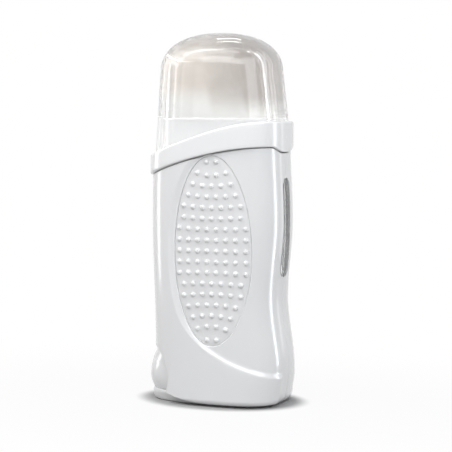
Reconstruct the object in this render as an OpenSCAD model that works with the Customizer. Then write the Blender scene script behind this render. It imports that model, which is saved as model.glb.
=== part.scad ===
// Handheld roll on wax heater: two moulded halves round a heated cartridge chamber,
// a swept collar with a clear domed cap, and an inlet housing low on the left side.
// Z is up, the broad face with the oval grip looks along -Y, the window is on the +X side.

/* [Body] */
// Main faces' distance outside the chamber, front and back
body_out = 7.6; // [7.2:0.1:9]
// Squareness of the rounded cross-section
body_squareness = 3.1; // [2.8:0.1:3.6]
// Thickness of the moulded walls
shell_wall = 2; // [1.6:0.1:2.2]
// Gap left between the two halves
seam_gap = 0.1; // [0.06:0.02:0.3]
// Gap between the halves' upper edge and the collar
collar_seam = 0.5; // [0.4:0.05:0.7]
// Height of the halves' lower edge over the table
shell_lift = 1.5; // [1.2:0.1:1.9]
// How far the lower edge climbs where it meets the inlet housing
edge_climb = 4.6; // [3:0.2:5.4]
// Radius of the rounded lower edge
edge_round = 3.2; // [2:0.1:4]
// Right side's distance outside the chamber at the table
base_right_out = 10.7; // [9.9:0.1:12]
// Right side's distance outside the chamber at the hip
hip_right_out = 12.6; // [11.4:0.1:14]
// Height of the hip
hip_z = 19; // [15:1:24]
// Right side's distance outside the chamber at the waist
waist_right_out = 8.5; // [8.2:0.1:10]
// Height of the waist
waist_z = 59; // [52:1:64]
// Right side's distance outside the chamber at the chest
chest_right_out = 11.3; // [10.6:0.1:13]
// Height of the chest
chest_z = 101; // [94:1:108]
// Right side's distance outside the chamber at the collar
shoulder_right_out = 9.5; // [9.2:0.1:10]
// Left side's distance outside the chamber low down
low_left_out = 7.4; // [7.2:0.1:8.4]
// Height where the left side starts to swell
low_left_z = 36; // [33:1:46]
// Left side's distance outside the chamber at the chest
chest_left_out = 9.2; // [8.8:0.1:11]
// Left side's distance outside the chamber at the collar
shoulder_left_out = 8.3; // [8.1:0.1:10]
// Height at which both sides reach the shoulder size
shoulder_z = 152; // [146:1:160]

/* [Raised field] */
// How far the lower-left field stands proud of the main face
field_height = 1.1; // [0.5:0.1:1.2]
// Width of the bevel along the field's edge
field_bevel = 2.6; // [2:0.2:4]
// Height where the field's edge runs off the right side
field_end_z = 16.5; // [15:0.5:20]
// How far the field's edge bows sideways below the oval
field_bow = 9; // [6:0.5:11]
// How far the bow's turning point lies below the place where the edge leaves the oval
field_bow_drop = 23.4; // [16:0.2:28]
// Where the field's edge leaves the oval, in degrees round from the oval's right end
field_leave = 219; // [212:1:226]
// Margin of the oval left outside its opening, up to the field's edge
field_margin = 1; // [0.6:0.1:1.6]
// Where the field's edge starts under the collar, in degrees round from the oval's right end
field_top = 104; // [100:1:110]

/* [Grip] */
// Sideways place of the oval's centre
grip_x = 4.65; // [3:0.05:6]
// Height of the oval's centre
grip_z = 85.5; // [84:0.5:86]
// Half of the oval's width
grip_half_w = 22.2; // [20:0.1:23]
// Half of the oval's height
grip_half_h = 51.8; // [48:0.1:52]
// Depth of the grip's face below the main face
grip_sink = 0.6; // [0.3:0.1:1]
// Gap between the grip and the edge of its opening
grip_gap = 0.1; // [0.05:0.05:0.2]
// Width of the grip's flange behind the shell
grip_flange = 1.6; // [1:0.1:2]
// Height of the grip's flange behind the shell, above and below
grip_flange_end = 0.4; // [0.2:0.1:0.6]
// Thickness of the grip's flange
grip_flange_t = 0.8; // [0.6:0.1:1]
// Radius of one grip dome
dome_r = 1.45; // [1.1:0.05:1.7]
// How far a dome rises from the grip's face
dome_rise = 1.1; // [0.8:0.05:1.3]
// Number of dome rows
dome_rows = 17; // [9:2:17]
// Height from one row of domes to the next
dome_row_pitch = 6.15; // [5.4:0.05:6.15]
// Widest sideways pitch of the domes
dome_pitch = 5.5; // [5.4:0.05:6.4]
// Least sideways pitch before a row loses a dome
dome_least_pitch = 5.4; // [4.4:0.05:5.4]
// Margin between the outer domes' centres and the oval's edge
dome_margin = 2.2; // [1.8:0.05:2.6]
// How far the outer rows bow towards the middle
dome_row_bow = 2.3; // [0:0.1:2.4]
// Margin above the oval's height at which a row would have no width
dome_end_margin = 1; // [0.6:0.1:1.4]

/* [Collar and neck] */
// Collar's distance outside the chamber, left and right
collar_out_w = 11.2; // [10.9:0.1:12.4]
// Collar's distance outside the main faces, front and back
collar_proud = 2.1; // [1.8:0.1:2.8]
// Height of the collar's top edge on the left
collar_top_left = 137; // [134:0.5:140]
// Height of the collar's top edge on the right
collar_top_right = 155.9; // [153:0.1:156]
// Height of the collar's lower edge on the left
collar_low_left = 125.5; // [123:0.5:127]
// Height of the collar's lower edge on the right
collar_low_right = 142; // [140:0.5:143]
// How far the lower edge drops again at the right end
collar_droop = 3; // [0:0.5:4]
// Share of the collar's width at which the droop starts
droop_start = 0.94; // [0.9:0.01:0.95]
// Thickness of the collar's lip outside the cap
lip_wall = 2; // [1.6:0.1:2.2]
// Depth of the groove that takes the cap's rim
groove_depth = 4; // [3:0.1:5]
// Neck's distance outside the chamber, left and right
neck_out_w = 3.3; // [3.1:0.1:3.8]
// Neck's distance outside the chamber, front and back
neck_out_d = 3.6; // [3.5:0.1:3.7]
// Squareness of the neck's cross-section outside
neck_squareness = 4; // [3.8:0.1:4.2]
// Squareness of the neck's cross-section inside
neck_inner_squareness = 4.5; // [4.4:0.1:5]
// Gap between the neck and the chamber
neck_gap = 0.3; // [0.25:0.05:0.4]
// Height of the neck's rim
neck_z = 157.6; // [157:0.1:160]
// Height of the spigot that centres the two halves
spigot_h = 4; // [3:0.5:5]
// Gap between the spigot and the halves
spigot_gap = 0.7; // [0.6:0.05:0.9]

/* [Cap] */
// Overall height of the heater with its cap on
overall_h = 204.4; // [200:0.2:208]
// Height where the cap's dome starts
dome_start_z = 183.4; // [180:0.2:186]
// Cap's distance outside the neck where the dome starts, left and right
cap_out_w = 2; // [1.9:0.1:3.2]
// Cap's distance outside the neck where the dome starts, front and back
cap_out_d = 2.8; // [2.6:0.1:3.2]
// Fullness of the dome
dome_fullness = 2.3; // [2:0.05:2.6]
// Thickness of the cap's wall
cap_wall = 1.8; // [1.4:0.1:2]
// Gap between the cap's rim and the collar's lip
cap_gap = 0.3; // [0.2:0.05:0.4]
// Gap between the cap's rim and the floor of the groove
cap_foot_gap = 0.9; // [0.8:0.1:1.4]

/* [Window] */
// Height of the window's centre
window_z = 97.7; // [95:0.1:100]
// Length of the window
window_len = 54.5; // [48:0.5:58]
// Width of the window
window_w = 10; // [8:0.5:11]
// Thickness of the window's insert
window_t = 2.6; // [2:0.1:3.2]
// Radius along which the insert bulges
window_bulge_r = 290; // [250:10:340]
// Gap round the insert
window_gap = 0.12; // [0.05:0.01:0.2]

/* [Inlet housing] */
// Distance of the round cut's centre outside the chamber
housing_out = 12.9; // [12.6:0.1:13.4]
// Height of the housing's centre
housing_z = 14.2; // [13.8:0.1:15]
// Radius of the round cut in the halves
housing_r = 18.4; // [17.6:0.1:18.8]
// Housing's distance outside the chamber on its left side
housing_left_out = 12.8; // [12.2:0.1:13.8]
// Housing's distance inside the main faces, front and back
housing_in = 2.1; // [1.8:0.1:3]
// Radius of the housing's bulge, seen from the front
housing_bulge_r = 32; // [28:1:40]
// Thickness of the housing's wall
housing_wall = 2; // [1.6:0.1:2.4]
// Gap between the housing and its neighbours
housing_gap = 0.15; // [0.1:0.05:0.3]

/* [Inlet] */
// Width of the inlet's body
inlet_w = 20; // [19:0.5:22]
// Height of the inlet's body
inlet_h = 12; // [11:0.5:13]
// How far the inlet's face lies behind the housing's widest place
inlet_face_in = 1.4; // [1.2:0.1:2]
// Length of the inlet's body
inlet_len = 20; // [18:0.5:22]
// Height of the inlet's centre
inlet_z = 17; // [16:0.5:18]
// Radius of each round end of the recess
inlet_recess_r = 4; // [3.6:0.1:4.2]
// Depth of the inlet's recess
inlet_recess_depth = 15; // [14:0.5:16]
// Spacing of the two pins
pin_pitch = 8.6; // [8:0.1:9]
// Diameter of a pin
pin_d = 2.36; // [2.2:0.02:2.6]
// Free length of a pin in the recess
pin_len = 9.5; // [8:0.5:9.5]
// Length of a pin's tag behind the inlet
pin_tag = 3; // [2:0.5:4]

/* [Base] */
// Height of the base's foot band
base_h = 6.4; // [5.8:0.1:6.6]
// Thickness of the base's floor
base_floor = 2.4; // [2:0.1:3]
// Thickness of the foot band
base_wall = 2; // [1.6:0.1:2.4]
// Foot band's distance outside the chamber on its left side
foot_left_out = 11; // [10.6:0.1:12]
// Foot band's distance inside the chamber's left side where it starts to swell out
foot_swell_in = 9.5; // [8.5:0.1:10.5]
// Gap between the base and the halves
base_gap = 0.8; // [0.7:0.05:0.9]
// Rounding of the base's lower edge
base_round = 2.4; // [1.6:0.1:2.6]

/* [Chamber] */
// Inner width of the cartridge chamber
chamber_w = 55; // [54:0.1:55.4]
// Inner depth of the cartridge chamber
chamber_d = 37; // [36:0.1:37.2]
// Wall of the chamber
chamber_wall = 1; // [0.8:0.1:1]
// Radius of the chamber's inner corners
chamber_corner = 12; // [11.8:0.1:12.6]
// Height of the chamber's underside
chamber_z = 36; // [34:0.5:38]
// Height of the chamber's top edge
chamber_top_z = 154; // [153:0.1:154.2]
// Thickness of the rim's inner lip over the gasket
rim_lip_t = 1.5; // [1:0.1:2]
// Gap above and below the gasket
gasket_gap = 0.1; // [0.05:0.05:0.15]
// Width of the slot behind the window
slot_w = 7; // [5:0.5:8]

/* [Heating] */
// Height of a warming plate
plate_h = 80; // [70:1:80]
// Thickness of a warming plate
plate_t = 1.2; // [1:0.1:1.3]
// Height of a warming plate's centre
plate_z = 88; // [84:1:92]
// Width of a heating element
ptc_w = 20; // [16:0.5:22]
// Height of a heating element
ptc_h = 56; // [40:1:60]
// Thickness of a heating element
ptc_t = 1.1; // [0.8:0.1:1.2]
// Width of a spring band
band_h = 7; // [5:0.5:9]
// Thickness of a spring band
band_t = 0.5; // [0.3:0.05:0.6]
// Distance between the two spring bands
band_pitch = 30; // [24:1:40]
// Gap between neighbours in the heating stack
stack_gap = 0.05; // [0.03:0.01:0.06]
// Diameter of the thermal fuse
fuse_d = 3.6; // [3:0.1:3.6]
// Length of the thermal fuse
fuse_len = 12; // [10:0.5:14]
// Height of the thermal fuse's lower end
fuse_z = 42; // [41:0.5:50]
// Diameter of a wire
wire_d = 1.8; // [1.4:0.1:1.9]
// Distance that a lead keeps below the carrier, above the fuse and inside a plate's edge
lead_drop = 3; // [2.6:0.1:3.2]

/* [Carrier and screws] */
// Thickness of the carrier's plate
carrier_t = 3; // [2.5:0.1:3.5]
// Right pillars' distance inside the chamber's side
pillar_right_in = 3.5; // [3:0.1:5]
// Left pillars' distance inside the chamber's side
pillar_left_in = 15.5; // [14:0.5:17]
// Pillars' distance inside the chamber, front and back
pillar_in = 6.5; // [5.5:0.1:7]
// Diameter of a pillar
pillar_d = 7; // [6.4:0.1:8]
// Diameter of a screw's shank
screw_d = 3; // [2.6:0.1:3.2]
// Diameter of a screw's head
screw_head_d = 5.6; // [5:0.1:6]
// Height of a screw's head
screw_head_h = 1.2; // [1:0.1:1.3]
// Depth of a screw's head below the rest face
screw_recess = 0.3; // [0.2:0.1:0.5]
// Length of a screw's shank
screw_len = 11; // [8:0.5:14]
// Gap of the shank in the base
screw_clearance = 0.25; // [0.15:0.05:0.35]
// Gap of the shank in the pillar
thread_clearance = 0.05; // [0.02:0.01:0.08]

/* [Hidden] */

$fn = 48;
// Steps round half of the body's cross-section
half_steps = 24;
// Rows of each half along the two parts of the field's edge, and below its end
field_rows = 12;
field_low_rows = 5;
// Columns of each half on the raised field and on the main face
field_cols = 16;
main_cols = 12;
// Strip of the main face kept along the right seam, in degrees of the section's own angle
seam_strip = 0.3;
// Rows of the cap's dome
dome_steps = 9;
// Sides of the oval grip and rings across it
grip_sides = 44;
grip_rings = 4;
// Amount by which cutting solids reach past what they cut
past = 1;

// Places counted from the chamber's half width and half depth
half_w = chamber_w / 2;
half_d = chamber_d / 2 + body_out;
base_right = half_w + base_right_out;
hip_right = half_w + hip_right_out;
waist_right = half_w + waist_right_out;
chest_right = half_w + chest_right_out;
shoulder_right = half_w + shoulder_right_out;
low_left = half_w + low_left_out;
chest_left = half_w + chest_left_out;
shoulder_left = half_w + shoulder_left_out;
collar_half_w = half_w + collar_out_w;
collar_half_d = half_d + collar_proud;
neck_half_w = half_w + neck_out_w;
neck_half_d = chamber_d / 2 + neck_out_d;
cap_half_w = neck_half_w + cap_out_w;
cap_half_d = neck_half_d + cap_out_d;
housing_x = -half_w - housing_out;
housing_left = half_w + housing_left_out;
housing_half_d = half_d - housing_in;
foot_left = half_w + foot_left_out;
foot_swell_x = foot_swell_in - half_w;

// ---- shared forms ----

// Smooth step between 0 and 1
function ease(t) = t * t * (3 - 2 * t);

// Value at height z on a chain of [height, value] stations, level at each station
function station(chain, z, i = 0) =
  z <= chain[i][0] ? chain[i][1]
  : i == len(chain) - 1 ? chain[i][1]
  : z < chain[i + 1][0] ? chain[i][1] + (chain[i + 1][1] - chain[i][1])
      * ease((z - chain[i][0]) / (chain[i + 1][0] - chain[i][0]))
  : station(chain, z, i + 1);

RIGHT = [[0, base_right], [hip_z, hip_right], [waist_z, waist_right], [chest_z, chest_right],
         [shoulder_z, shoulder_right]];
LEFT = [[low_left_z, low_left], [chest_z, chest_left], [shoulder_z, shoulder_left]];
function right_reach(z) = station(RIGHT, z);
function left_reach(z) = station(LEFT, z);

// How far the surface draws in at the rounded lower edge, which stops short of a full quarter turn
edge_share = 0.85;
edge_top_z = shell_lift + edge_share * edge_round;
function edge_inset(z) =
  z > edge_top_z ? 0 : edge_round - sqrt(pow(edge_round, 2) - pow(edge_top_z - z, 2));

// Point of a rounded cross-section: side factors from the angle
function side(v, n) = sign(v) * pow(abs(v), 2 / n);
function oval_point(angle, left, right, half, n) =
  let (mid = (right - left) / 2, reach = (right + left) / 2)
  [mid + reach * side(cos(angle), n), half * side(sin(angle), n)];

// Point on the body, grown by a distance, at an angle and a height
function body_point(angle, z, grow) =
  let (g = grow - edge_inset(z))
  oval_point(angle, left_reach(z) + g, right_reach(z) + g, half_d + g, body_squareness);

// Angle at which the body's outline passes a sideways place, on the front half
function body_angle(x, z, grow) =
  let (g = grow - edge_inset(z),
       l = left_reach(z) + g, r = right_reach(z) + g,
       share = max(-1, min(1, (x - (r - l) / 2) / ((r + l) / 2))))
  360 - acos(sign(share) * pow(abs(share), body_squareness / 2));

// Distance of the body's face from the middle plane at a sideways place
function face_y(x, z, grow) = body_point(body_angle(x, z, grow), z, grow)[1];

// Heights of the collar's two edges, and of the halves' lower edge
function sweep(x) = max(0, min(1, (x + collar_half_w) / (2 * collar_half_w)));
function collar_top(x) =
  collar_top_left + (collar_top_right - collar_top_left) * sin(90 * pow(sweep(x), 1.15));
function collar_low(x) =
  collar_low_left + (collar_low_right - collar_low_left) * sin(90 * pow(sweep(x), 0.95))
  - collar_droop * pow(max(0, sweep(x) - droop_start) / (1 - droop_start), 2);
climb_reach = 0.87;
climb_x = -housing_x - climb_reach * housing_r;
function shell_low(x) = shell_lift + edge_climb * pow(max(0, -x / climb_x), 1.6);

// Closed skin between an outer and an inner grid of points, both rows by columns
module skin(outer, inner) {
  rows = len(outer);
  cols = len(outer[0]);
  count = rows * cols;
  function at(r, c, s) = s * count + r * cols + c;
  faces = [
    for (r = [0:rows - 2], c = [0:cols - 2]) each [
      [at(r, c, 0), at(r + 1, c, 0), at(r + 1, c + 1, 0), at(r, c + 1, 0)],
      [at(r, c, 1), at(r, c + 1, 1), at(r + 1, c + 1, 1), at(r + 1, c, 1)]
    ],
    for (c = [0:cols - 2]) each [
      [at(0, c, 0), at(0, c + 1, 0), at(0, c + 1, 1), at(0, c, 1)],
      [at(rows - 1, c, 0), at(rows - 1, c, 1), at(rows - 1, c + 1, 1), at(rows - 1, c + 1, 0)]
    ],
    for (r = [0:rows - 2]) each [
      [at(r, 0, 0), at(r, 0, 1), at(r + 1, 0, 1), at(r + 1, 0, 0)],
      [at(r, cols - 1, 0), at(r + 1, cols - 1, 0), at(r + 1, cols - 1, 1), at(r, cols - 1, 1)]
    ]
  ];
  polyhedron(points = concat([for (row = outer) each row], [for (row = inner) each row]),
             faces = faces, convexity = 8);
}

// Closed ring of cross-sections: the last joins the first again
module ring(sections) {
  rows = len(sections);
  cols = len(sections[0]);
  faces = [
    for (r = [0:rows - 1], c = [0:cols - 1])
      let (r2 = (r + 1) % rows, c2 = (c + 1) % cols)
      [r * cols + c, r2 * cols + c, r2 * cols + c2, r * cols + c2]
  ];
  polyhedron(points = [for (row = sections) each row], faces = faces, convexity = 8);
}

// Closed form of cross-sections that end in a point at both ends
module turned(first, sections, last) {
  rows = len(sections);
  cols = len(sections[0]);
  faces = [
    for (c = [0:cols - 1]) let (d = (c + 1) % cols) each [
      [rows * cols, c, d],
      [rows * cols + 1, (rows - 1) * cols + d, (rows - 1) * cols + c],
      for (r = [0:rows - 2]) [r * cols + c, (r + 1) * cols + c, (r + 1) * cols + d, r * cols + d]
    ]
  ];
  polyhedron(points = concat([for (s = sections) each s], [first, last]), faces = faces,
             convexity = 8);
}

// Upright bar with rounded corners
module rounded_bar(w, d, r, h) {
  linear_extrude(h) {
    square([w, d - 2 * r], center = true);
    square([w - 2 * r, d], center = true);
    for (x = [-1, 1], y = [-1, 1]) translate([x * (w / 2 - r), y * (d / 2 - r)]) circle(r);
  }
}

// Bar with round ends, lying along X and standing on its narrow sides
module slot_bar(len_z, w, depth) {
  rotate([90, 0, 90]) linear_extrude(depth) {
    square([w, len_z - w], center = true);
    for (end = [-1, 1]) translate([0, end * (len_z - w) / 2]) circle(w / 2);
  }
}

// Round rod through a list of points, a little fuller at its bends
module rod(path, d) {
  bend_d = d * 1.03;
  for (i = [0:len(path) - 2]) {
    a = path[i];
    b = path[i + 1];
    run = b - a;
    translate(a)
      rotate([0, acos(run[2] / norm(run)), atan2(run[1], run[0])])
        cylinder(d = d, h = norm(run), $fn = 24);
    if (i > 0) translate(a) sphere(d = bend_d, $fn = 24);
  }
}

// ---- moulded halves ----

// Edge of the raised field: from the collar down the oval's left side, then in a bow to the right
function field_oval(a) = [grip_x + (grip_half_w + field_margin) * cos(a),
                          grip_z + (grip_half_h + field_margin) * sin(a)];
field_top_x = field_oval(field_top)[0];
field_join = field_oval(field_leave);
field_turn = [field_join[0] + field_bow, field_join[1] - field_bow_drop];
field_end = [hip_right, field_end_z];
function field_bow_point(t) =
  pow(1 - t, 2) * field_join + 2 * t * (1 - t) * field_turn + pow(t, 2) * field_end;
FIELD_EDGE = [
  [field_top_x, collar_low(field_top_x) - collar_seam],
  for (i = [0:field_rows - 1])
    field_oval(field_top + 3 + (field_leave - field_top - 3) * i / field_rows),
  for (i = [0:field_rows]) field_bow_point(i / field_rows)
];
edge_last = len(FIELD_EDGE) - 1;
row_last = edge_last + field_low_rows;

// Direction across the edge, towards the raised field
function field_across(i) =
  let (run = FIELD_EDGE[min(i + 1, edge_last)] - FIELD_EDGE[max(i - 1, 0)])
  [run[1], -run[0]] / norm(run);

// The field's edge at a row, moved towards the field; past its end it follows the seam down
function edge_point(i, shift) =
  let (at = FIELD_EDGE[min(i, edge_last)] + (i == 0 ? [-shift, 0] : shift * field_across(min(i, edge_last))),
       low = max(0, i - edge_last) / field_low_rows)
  [at[0], at[1] + (shell_low(at[0]) - at[1]) * low];

// Height of the half's upper edge, which follows the collar's lower edge at the same angle
function shell_top(angle) = collar_low(collar_half_w * side(cos(angle), body_squareness)) - collar_seam;

// Heights of a row at the two seams
function left_seam_z(i) =
  let (top = shell_top(180), low = shell_low(-low_left)) top + (low - top) * i / row_last;
function right_seam_z(i) =
  let (top = shell_top(360), drop = FIELD_EDGE[0][1] - field_end_z)
  i >= edge_last ? edge_point(i, 0)[1]
  : field_end_z + (top - field_end_z) * (FIELD_EDGE[i][1] - field_end_z) / drop;

// Point of the front half: kept off the seam, its first and last rows on the half's own edges
function half_point(i, angle, z, grow) =
  let (x = body_point(angle, z, 0)[0],
       level = i == 0 ? shell_top(angle) : i == row_last ? shell_low(x) : z,
       p = body_point(angle, level, grow))
  [p[0], min(p[1], -seam_gap / 2), level];

// One row of the front half: the raised field from the left seam, then the main face to the right
function half_row(i, field_grow, main_grow) =
  let (crest = edge_point(i, field_bevel), foot = edge_point(i, 0),
       crest_angle = min(360 - 2 * seam_strip, body_angle(crest[0], crest[1], 0)),
       foot_angle = min(360 - seam_strip, body_angle(foot[0], foot[1], 0)),
       left_z = left_seam_z(i), right_z = right_seam_z(i))
  [
    for (c = [0:field_cols]) let (u = c / field_cols)
      half_point(i, 180 + (crest_angle - 180) * u, left_z + (crest[1] - left_z) * u, field_grow),
    for (c = [0:main_cols]) let (u = c / main_cols)
      half_point(i, foot_angle + (360 - foot_angle) * u, foot[1] + (right_z - foot[1]) * u, main_grow)
  ];

module half_skin() {
  skin([for (i = [row_last:-1:0]) half_row(i, field_height, 0)],
       [for (i = [row_last:-1:0]) half_row(i, -shell_wall, -shell_wall)]);
}

// Outline of the oval grip, grown sideways and at its ends, seen from the front
function grip_outline(grow, grow_end, share = 1) =
  [for (i = [0:grip_sides - 1]) let (a = 360 * i / grip_sides)
    [grip_x + (grip_half_w + grow) * share * cos(a),
     grip_z + (grip_half_h + grow_end) * share * sin(a)]];

module grip_opening() {
  rotate([90, 0, 0]) linear_extrude(half_d + past) polygon(grip_outline(grip_gap, grip_gap));
}

module window_opening() {
  translate([waist_right - shell_wall - past, 0, window_z])
    slot_bar(window_len + 2 * window_gap, window_w + 2 * window_gap, 3 * window_t);
}

module housing_opening() {
  translate([housing_x, 0, housing_z])
    rotate([90, 0, 0]) cylinder(r = housing_r, h = 2 * (half_d + past), center = true, $fn = 96);
}

module half_shell() {
  difference() {
    half_skin();
    grip_opening();
    window_opening();
    housing_opening();
  }
}

module front_shell() { color("white") half_shell(); }
module back_shell() { color("white") mirror([0, 1, 0]) half_shell(); }

// ---- oval grips ----

// Point of the grip on the body's own curve, at a share of the oval's outline
function grip_point(i, share, grow, grow_end, sink) =
  let (p = grip_outline(grow, grow_end, share)[i]) [p[0], face_y(p[0], p[1], -sink), p[1]];

// Oval plate that follows the body between two depths
module grip_plate(grow, grow_end, face_sink, back_sink) {
  function oval(share, sink) =
    [for (i = [0:grip_sides - 1]) grip_point(i, share, grow, grow_end, sink)];
  function centre(sink) = [grip_x, face_y(grip_x, grip_z, -sink), grip_z];
  turned(centre(back_sink),
         [for (r = [1:grip_rings]) oval(r / grip_rings, back_sink),
          for (r = [grip_rings:-1:1]) oval(r / grip_rings, face_sink)],
         centre(face_sink));
}

// Domes: each row takes as many as the oval's width there holds
rows_half = (dome_rows - 1) / 2;
rows_share = 0.97;
row_pitch = min(dome_row_pitch, rows_share * (grip_half_h - dome_end_margin) / rows_half);
module grip_domes() {
  sphere_r = (pow(dome_r, 2) + pow(dome_rise, 2)) / (2 * dome_rise);
  for (row = [0:dome_rows - 1]) {
    up = (row - rows_half) * row_pitch;
    half_row = grip_half_w * sqrt(1 - pow(up / (grip_half_h - dome_end_margin), 2)) - dome_margin;
    count = floor(2 * half_row / dome_least_pitch) + 1;
    pitch = min(dome_pitch, 2 * half_row / (count - 1));
    for (i = [0:count - 1]) {
      along = (i - (count - 1) / 2) * pitch;
      bow = dome_row_bow * (1 - pow(along / half_row, 2)) * up / grip_half_h;
      x = grip_x + along;
      z = grip_z + up - bow;
      translate([x, face_y(x, z, -grip_sink) + sphere_r - dome_rise, z]) sphere(sphere_r, $fn = 14);
    }
  }
}

module grip() {
  grip_plate(0, 0, grip_sink, shell_wall + grip_flange_t / 2);
  grip_plate(grip_flange, grip_flange_end, shell_wall + stack_gap, shell_wall + grip_flange_t);
  grip_domes();
}

module front_grip() { color("whitesmoke") grip(); }
module back_grip() { color("whitesmoke") mirror([0, 1, 0]) grip(); }

// ---- collar with neck, and cap ----

ROUND_ANGLES = [for (i = [0:2 * half_steps - 1]) 180 * i / half_steps];

// Cross-section whose height follows the collar's edges at each place
function upright(half_w, half_depth, n, heights) =
  [for (i = [0:len(ROUND_ANGLES) - 1])
    let (p = oval_point(ROUND_ANGLES[i], half_w, half_w, half_depth, n)) [p[0], p[1], heights[i]]];
function collar_x(i) =
  oval_point(ROUND_ANGLES[i], collar_half_w, collar_half_w, collar_half_d, body_squareness)[0];
function tops(shift) = [for (i = [0:len(ROUND_ANGLES) - 1]) collar_top(collar_x(i)) + shift];
function lows(shift) = [for (i = [0:len(ROUND_ANGLES) - 1]) collar_low(collar_x(i)) + shift];
function level(z) = [for (i = ROUND_ANGLES) z];
function collar_ring(inset, heights) =
  upright(collar_half_w - inset, collar_half_d - inset, body_squareness, heights);

spigot_inset = collar_half_d - half_d + shell_wall + grip_flange_t + spigot_gap;
spigot_w_inset = collar_half_w - shoulder_left + shell_wall + spigot_gap;
function spigot_ring(inset, heights) =
  upright(collar_half_w - spigot_w_inset - inset, collar_half_d - spigot_inset - inset,
          body_squareness, heights);
neck_wall = neck_out_w - chamber_wall - neck_gap;
rim_wall = neck_out_w - neck_gap;
function neck_ring(inset, heights, n = neck_squareness) =
  upright(neck_half_w - inset, neck_half_d - inset, n, heights);

// Roundings of the collar's lower and upper edges, of its lip and of the neck's rim
collar_low_round = 0.9;
collar_top_round = 1.3;
lip_round = 0.4;
rim_round = 0.8;
// Thickness of the groove's floor, and height over which the spigot's wall leads into it
groove_floor = 2;
spigot_lead = 1.5;

module neck_frame() {
  color("white") ring([
    spigot_ring(0, lows(-spigot_h)),
    spigot_ring(0, lows(0)),
    collar_ring(collar_low_round, lows(0)),
    collar_ring(0, lows(collar_low_round)),
    collar_ring(0, tops(-collar_top_round)),
    collar_ring(lip_round, tops(-lip_round)),
    collar_ring(collar_top_round - lip_round / 2, tops(0)),
    collar_ring(lip_wall, tops(-lip_round)),
    collar_ring(lip_wall, tops(-groove_depth)),
    neck_ring(0, tops(-groove_depth)),
    neck_ring(0, level(neck_z - rim_round)),
    neck_ring(rim_round, level(neck_z)),
    neck_ring(rim_wall, level(neck_z), neck_inner_squareness),
    neck_ring(rim_wall, level(neck_z - rim_lip_t), neck_inner_squareness),
    neck_ring(neck_wall, level(neck_z - rim_lip_t), neck_inner_squareness),
    neck_ring(neck_wall, tops(-groove_depth - groove_floor), neck_inner_squareness),
    spigot_ring(shell_wall, lows(-spigot_lead)),
    spigot_ring(shell_wall, lows(-spigot_h))
  ]);
}

// Cap: straight skirt up to the dome's start, then a full dome
cap_h = overall_h - dome_start_z;
top_squareness_loss = 0.4;
cap_foot_w = collar_half_w - lip_wall - cap_gap;
cap_foot_d = collar_half_d - lip_wall - cap_gap;
function cap_skirt(share, wall) =
  let (w = cap_foot_w + (cap_half_w - cap_foot_w) * share,
       d = cap_foot_d + (cap_half_d - cap_foot_d) * share,
       foot = tops(cap_foot_gap - groove_depth))
  upright(w - wall, d - wall, body_squareness,
          [for (z = foot) z + (dome_start_z - z) * share]);
function cap_dome(turn, wall) =
  let (out = pow(cos(turn), 2 / dome_fullness), up = pow(sin(turn), 2 / dome_fullness))
  upright((cap_half_w - wall) * out, (cap_half_d - wall) * out,
          body_squareness - top_squareness_loss * up,
          level(dome_start_z + (cap_h - wall) * up));
function cap_side(wall) = [
  for (share = [0, 0.25, 0.5, 0.75]) cap_skirt(share, wall),
  for (i = [0:dome_steps - 1]) cap_dome(90 * i / dome_steps, wall)
];

module cap() {
  inner = cap_side(cap_wall);
  color("lightgray", 0.35)
    turned([0, 0, overall_h - cap_wall],
           concat([for (r = [len(inner) - 1:-1:0]) inner[r]], cap_side(0)),
           [0, 0, overall_h]);
}

// ---- window insert ----

module window_lens() {
  color("gainsboro", 0.5) intersection() {
    translate([chest_right - window_t - past, 0, window_z]) slot_bar(window_len, window_w, 3 * window_t);
    translate([chest_right - window_bulge_r, 0, chest_z]) rotate([90, 0, 0]) difference() {
      cylinder(r = window_bulge_r, h = window_w + past, center = true, $fn = 360);
      cylinder(r = window_bulge_r - window_t, h = window_w + 3 * past, center = true, $fn = 360);
    }
  }
}

// ---- inlet housing, inlet and base ----

function housing_reach(z) = housing_left - pow(z - housing_z, 2) / (2 * housing_bulge_r);
function housing_point(angle, z, wall) =
  let (p = oval_point(angle, housing_reach(z) - wall, right_reach(z) - wall, housing_half_d - wall,
                      body_squareness)) [p[0], p[1], z];
housing_low_z = base_h + housing_gap;
housing_top_z = housing_z + housing_r;

module inlet_housing() {
  rows = 9;
  turns = [for (i = [0:20]) 252 - 144 * i / 20];
  heights = [for (i = [0:rows]) housing_low_z + (housing_top_z - housing_low_z) * i / rows];
  color("white") difference() {
    intersection() {
      skin([for (z = heights) [for (a = turns) housing_point(360 - a, z, 0)]],
           [for (z = heights) [for (a = turns) housing_point(360 - a, z, housing_wall)]]);
      translate([housing_x, 0, housing_z]) rotate([90, 0, 0])
        cylinder(r = housing_r - housing_gap, h = 2 * half_d, center = true, $fn = 96);
    }
    translate([housing_x, 0, inlet_z])
      cube([inlet_len, inlet_w + 2 * housing_gap, inlet_h + 2 * housing_gap], center = true);
  }
}

inlet_face_x = inlet_face_in - housing_left;
inlet_side = 2;
module inlet_socket() {
  color("dimgray") difference() {
    translate([inlet_face_x, 0, inlet_z]) rotate([90, 0, 90]) linear_extrude(inlet_len)
      square([inlet_w, inlet_h], center = true);
    translate([inlet_face_x - past, 0, inlet_z]) rotate([90, 0, 90])
      linear_extrude(inlet_recess_depth + past) {
        square([inlet_w - 2 * (inlet_recess_r + inlet_side), 2 * inlet_recess_r], center = true);
        for (y = [-1, 1]) translate([y * (inlet_w / 2 - inlet_recess_r - inlet_side), 0])
          circle(inlet_recess_r);
      }
    for (y = [-1, 1]) translate([inlet_face_x, y * pin_pitch / 2, inlet_z])
      rotate([0, 90, 0]) cylinder(d = pin_d + 2 * stack_gap, h = inlet_len + past);
  }
}

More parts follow.
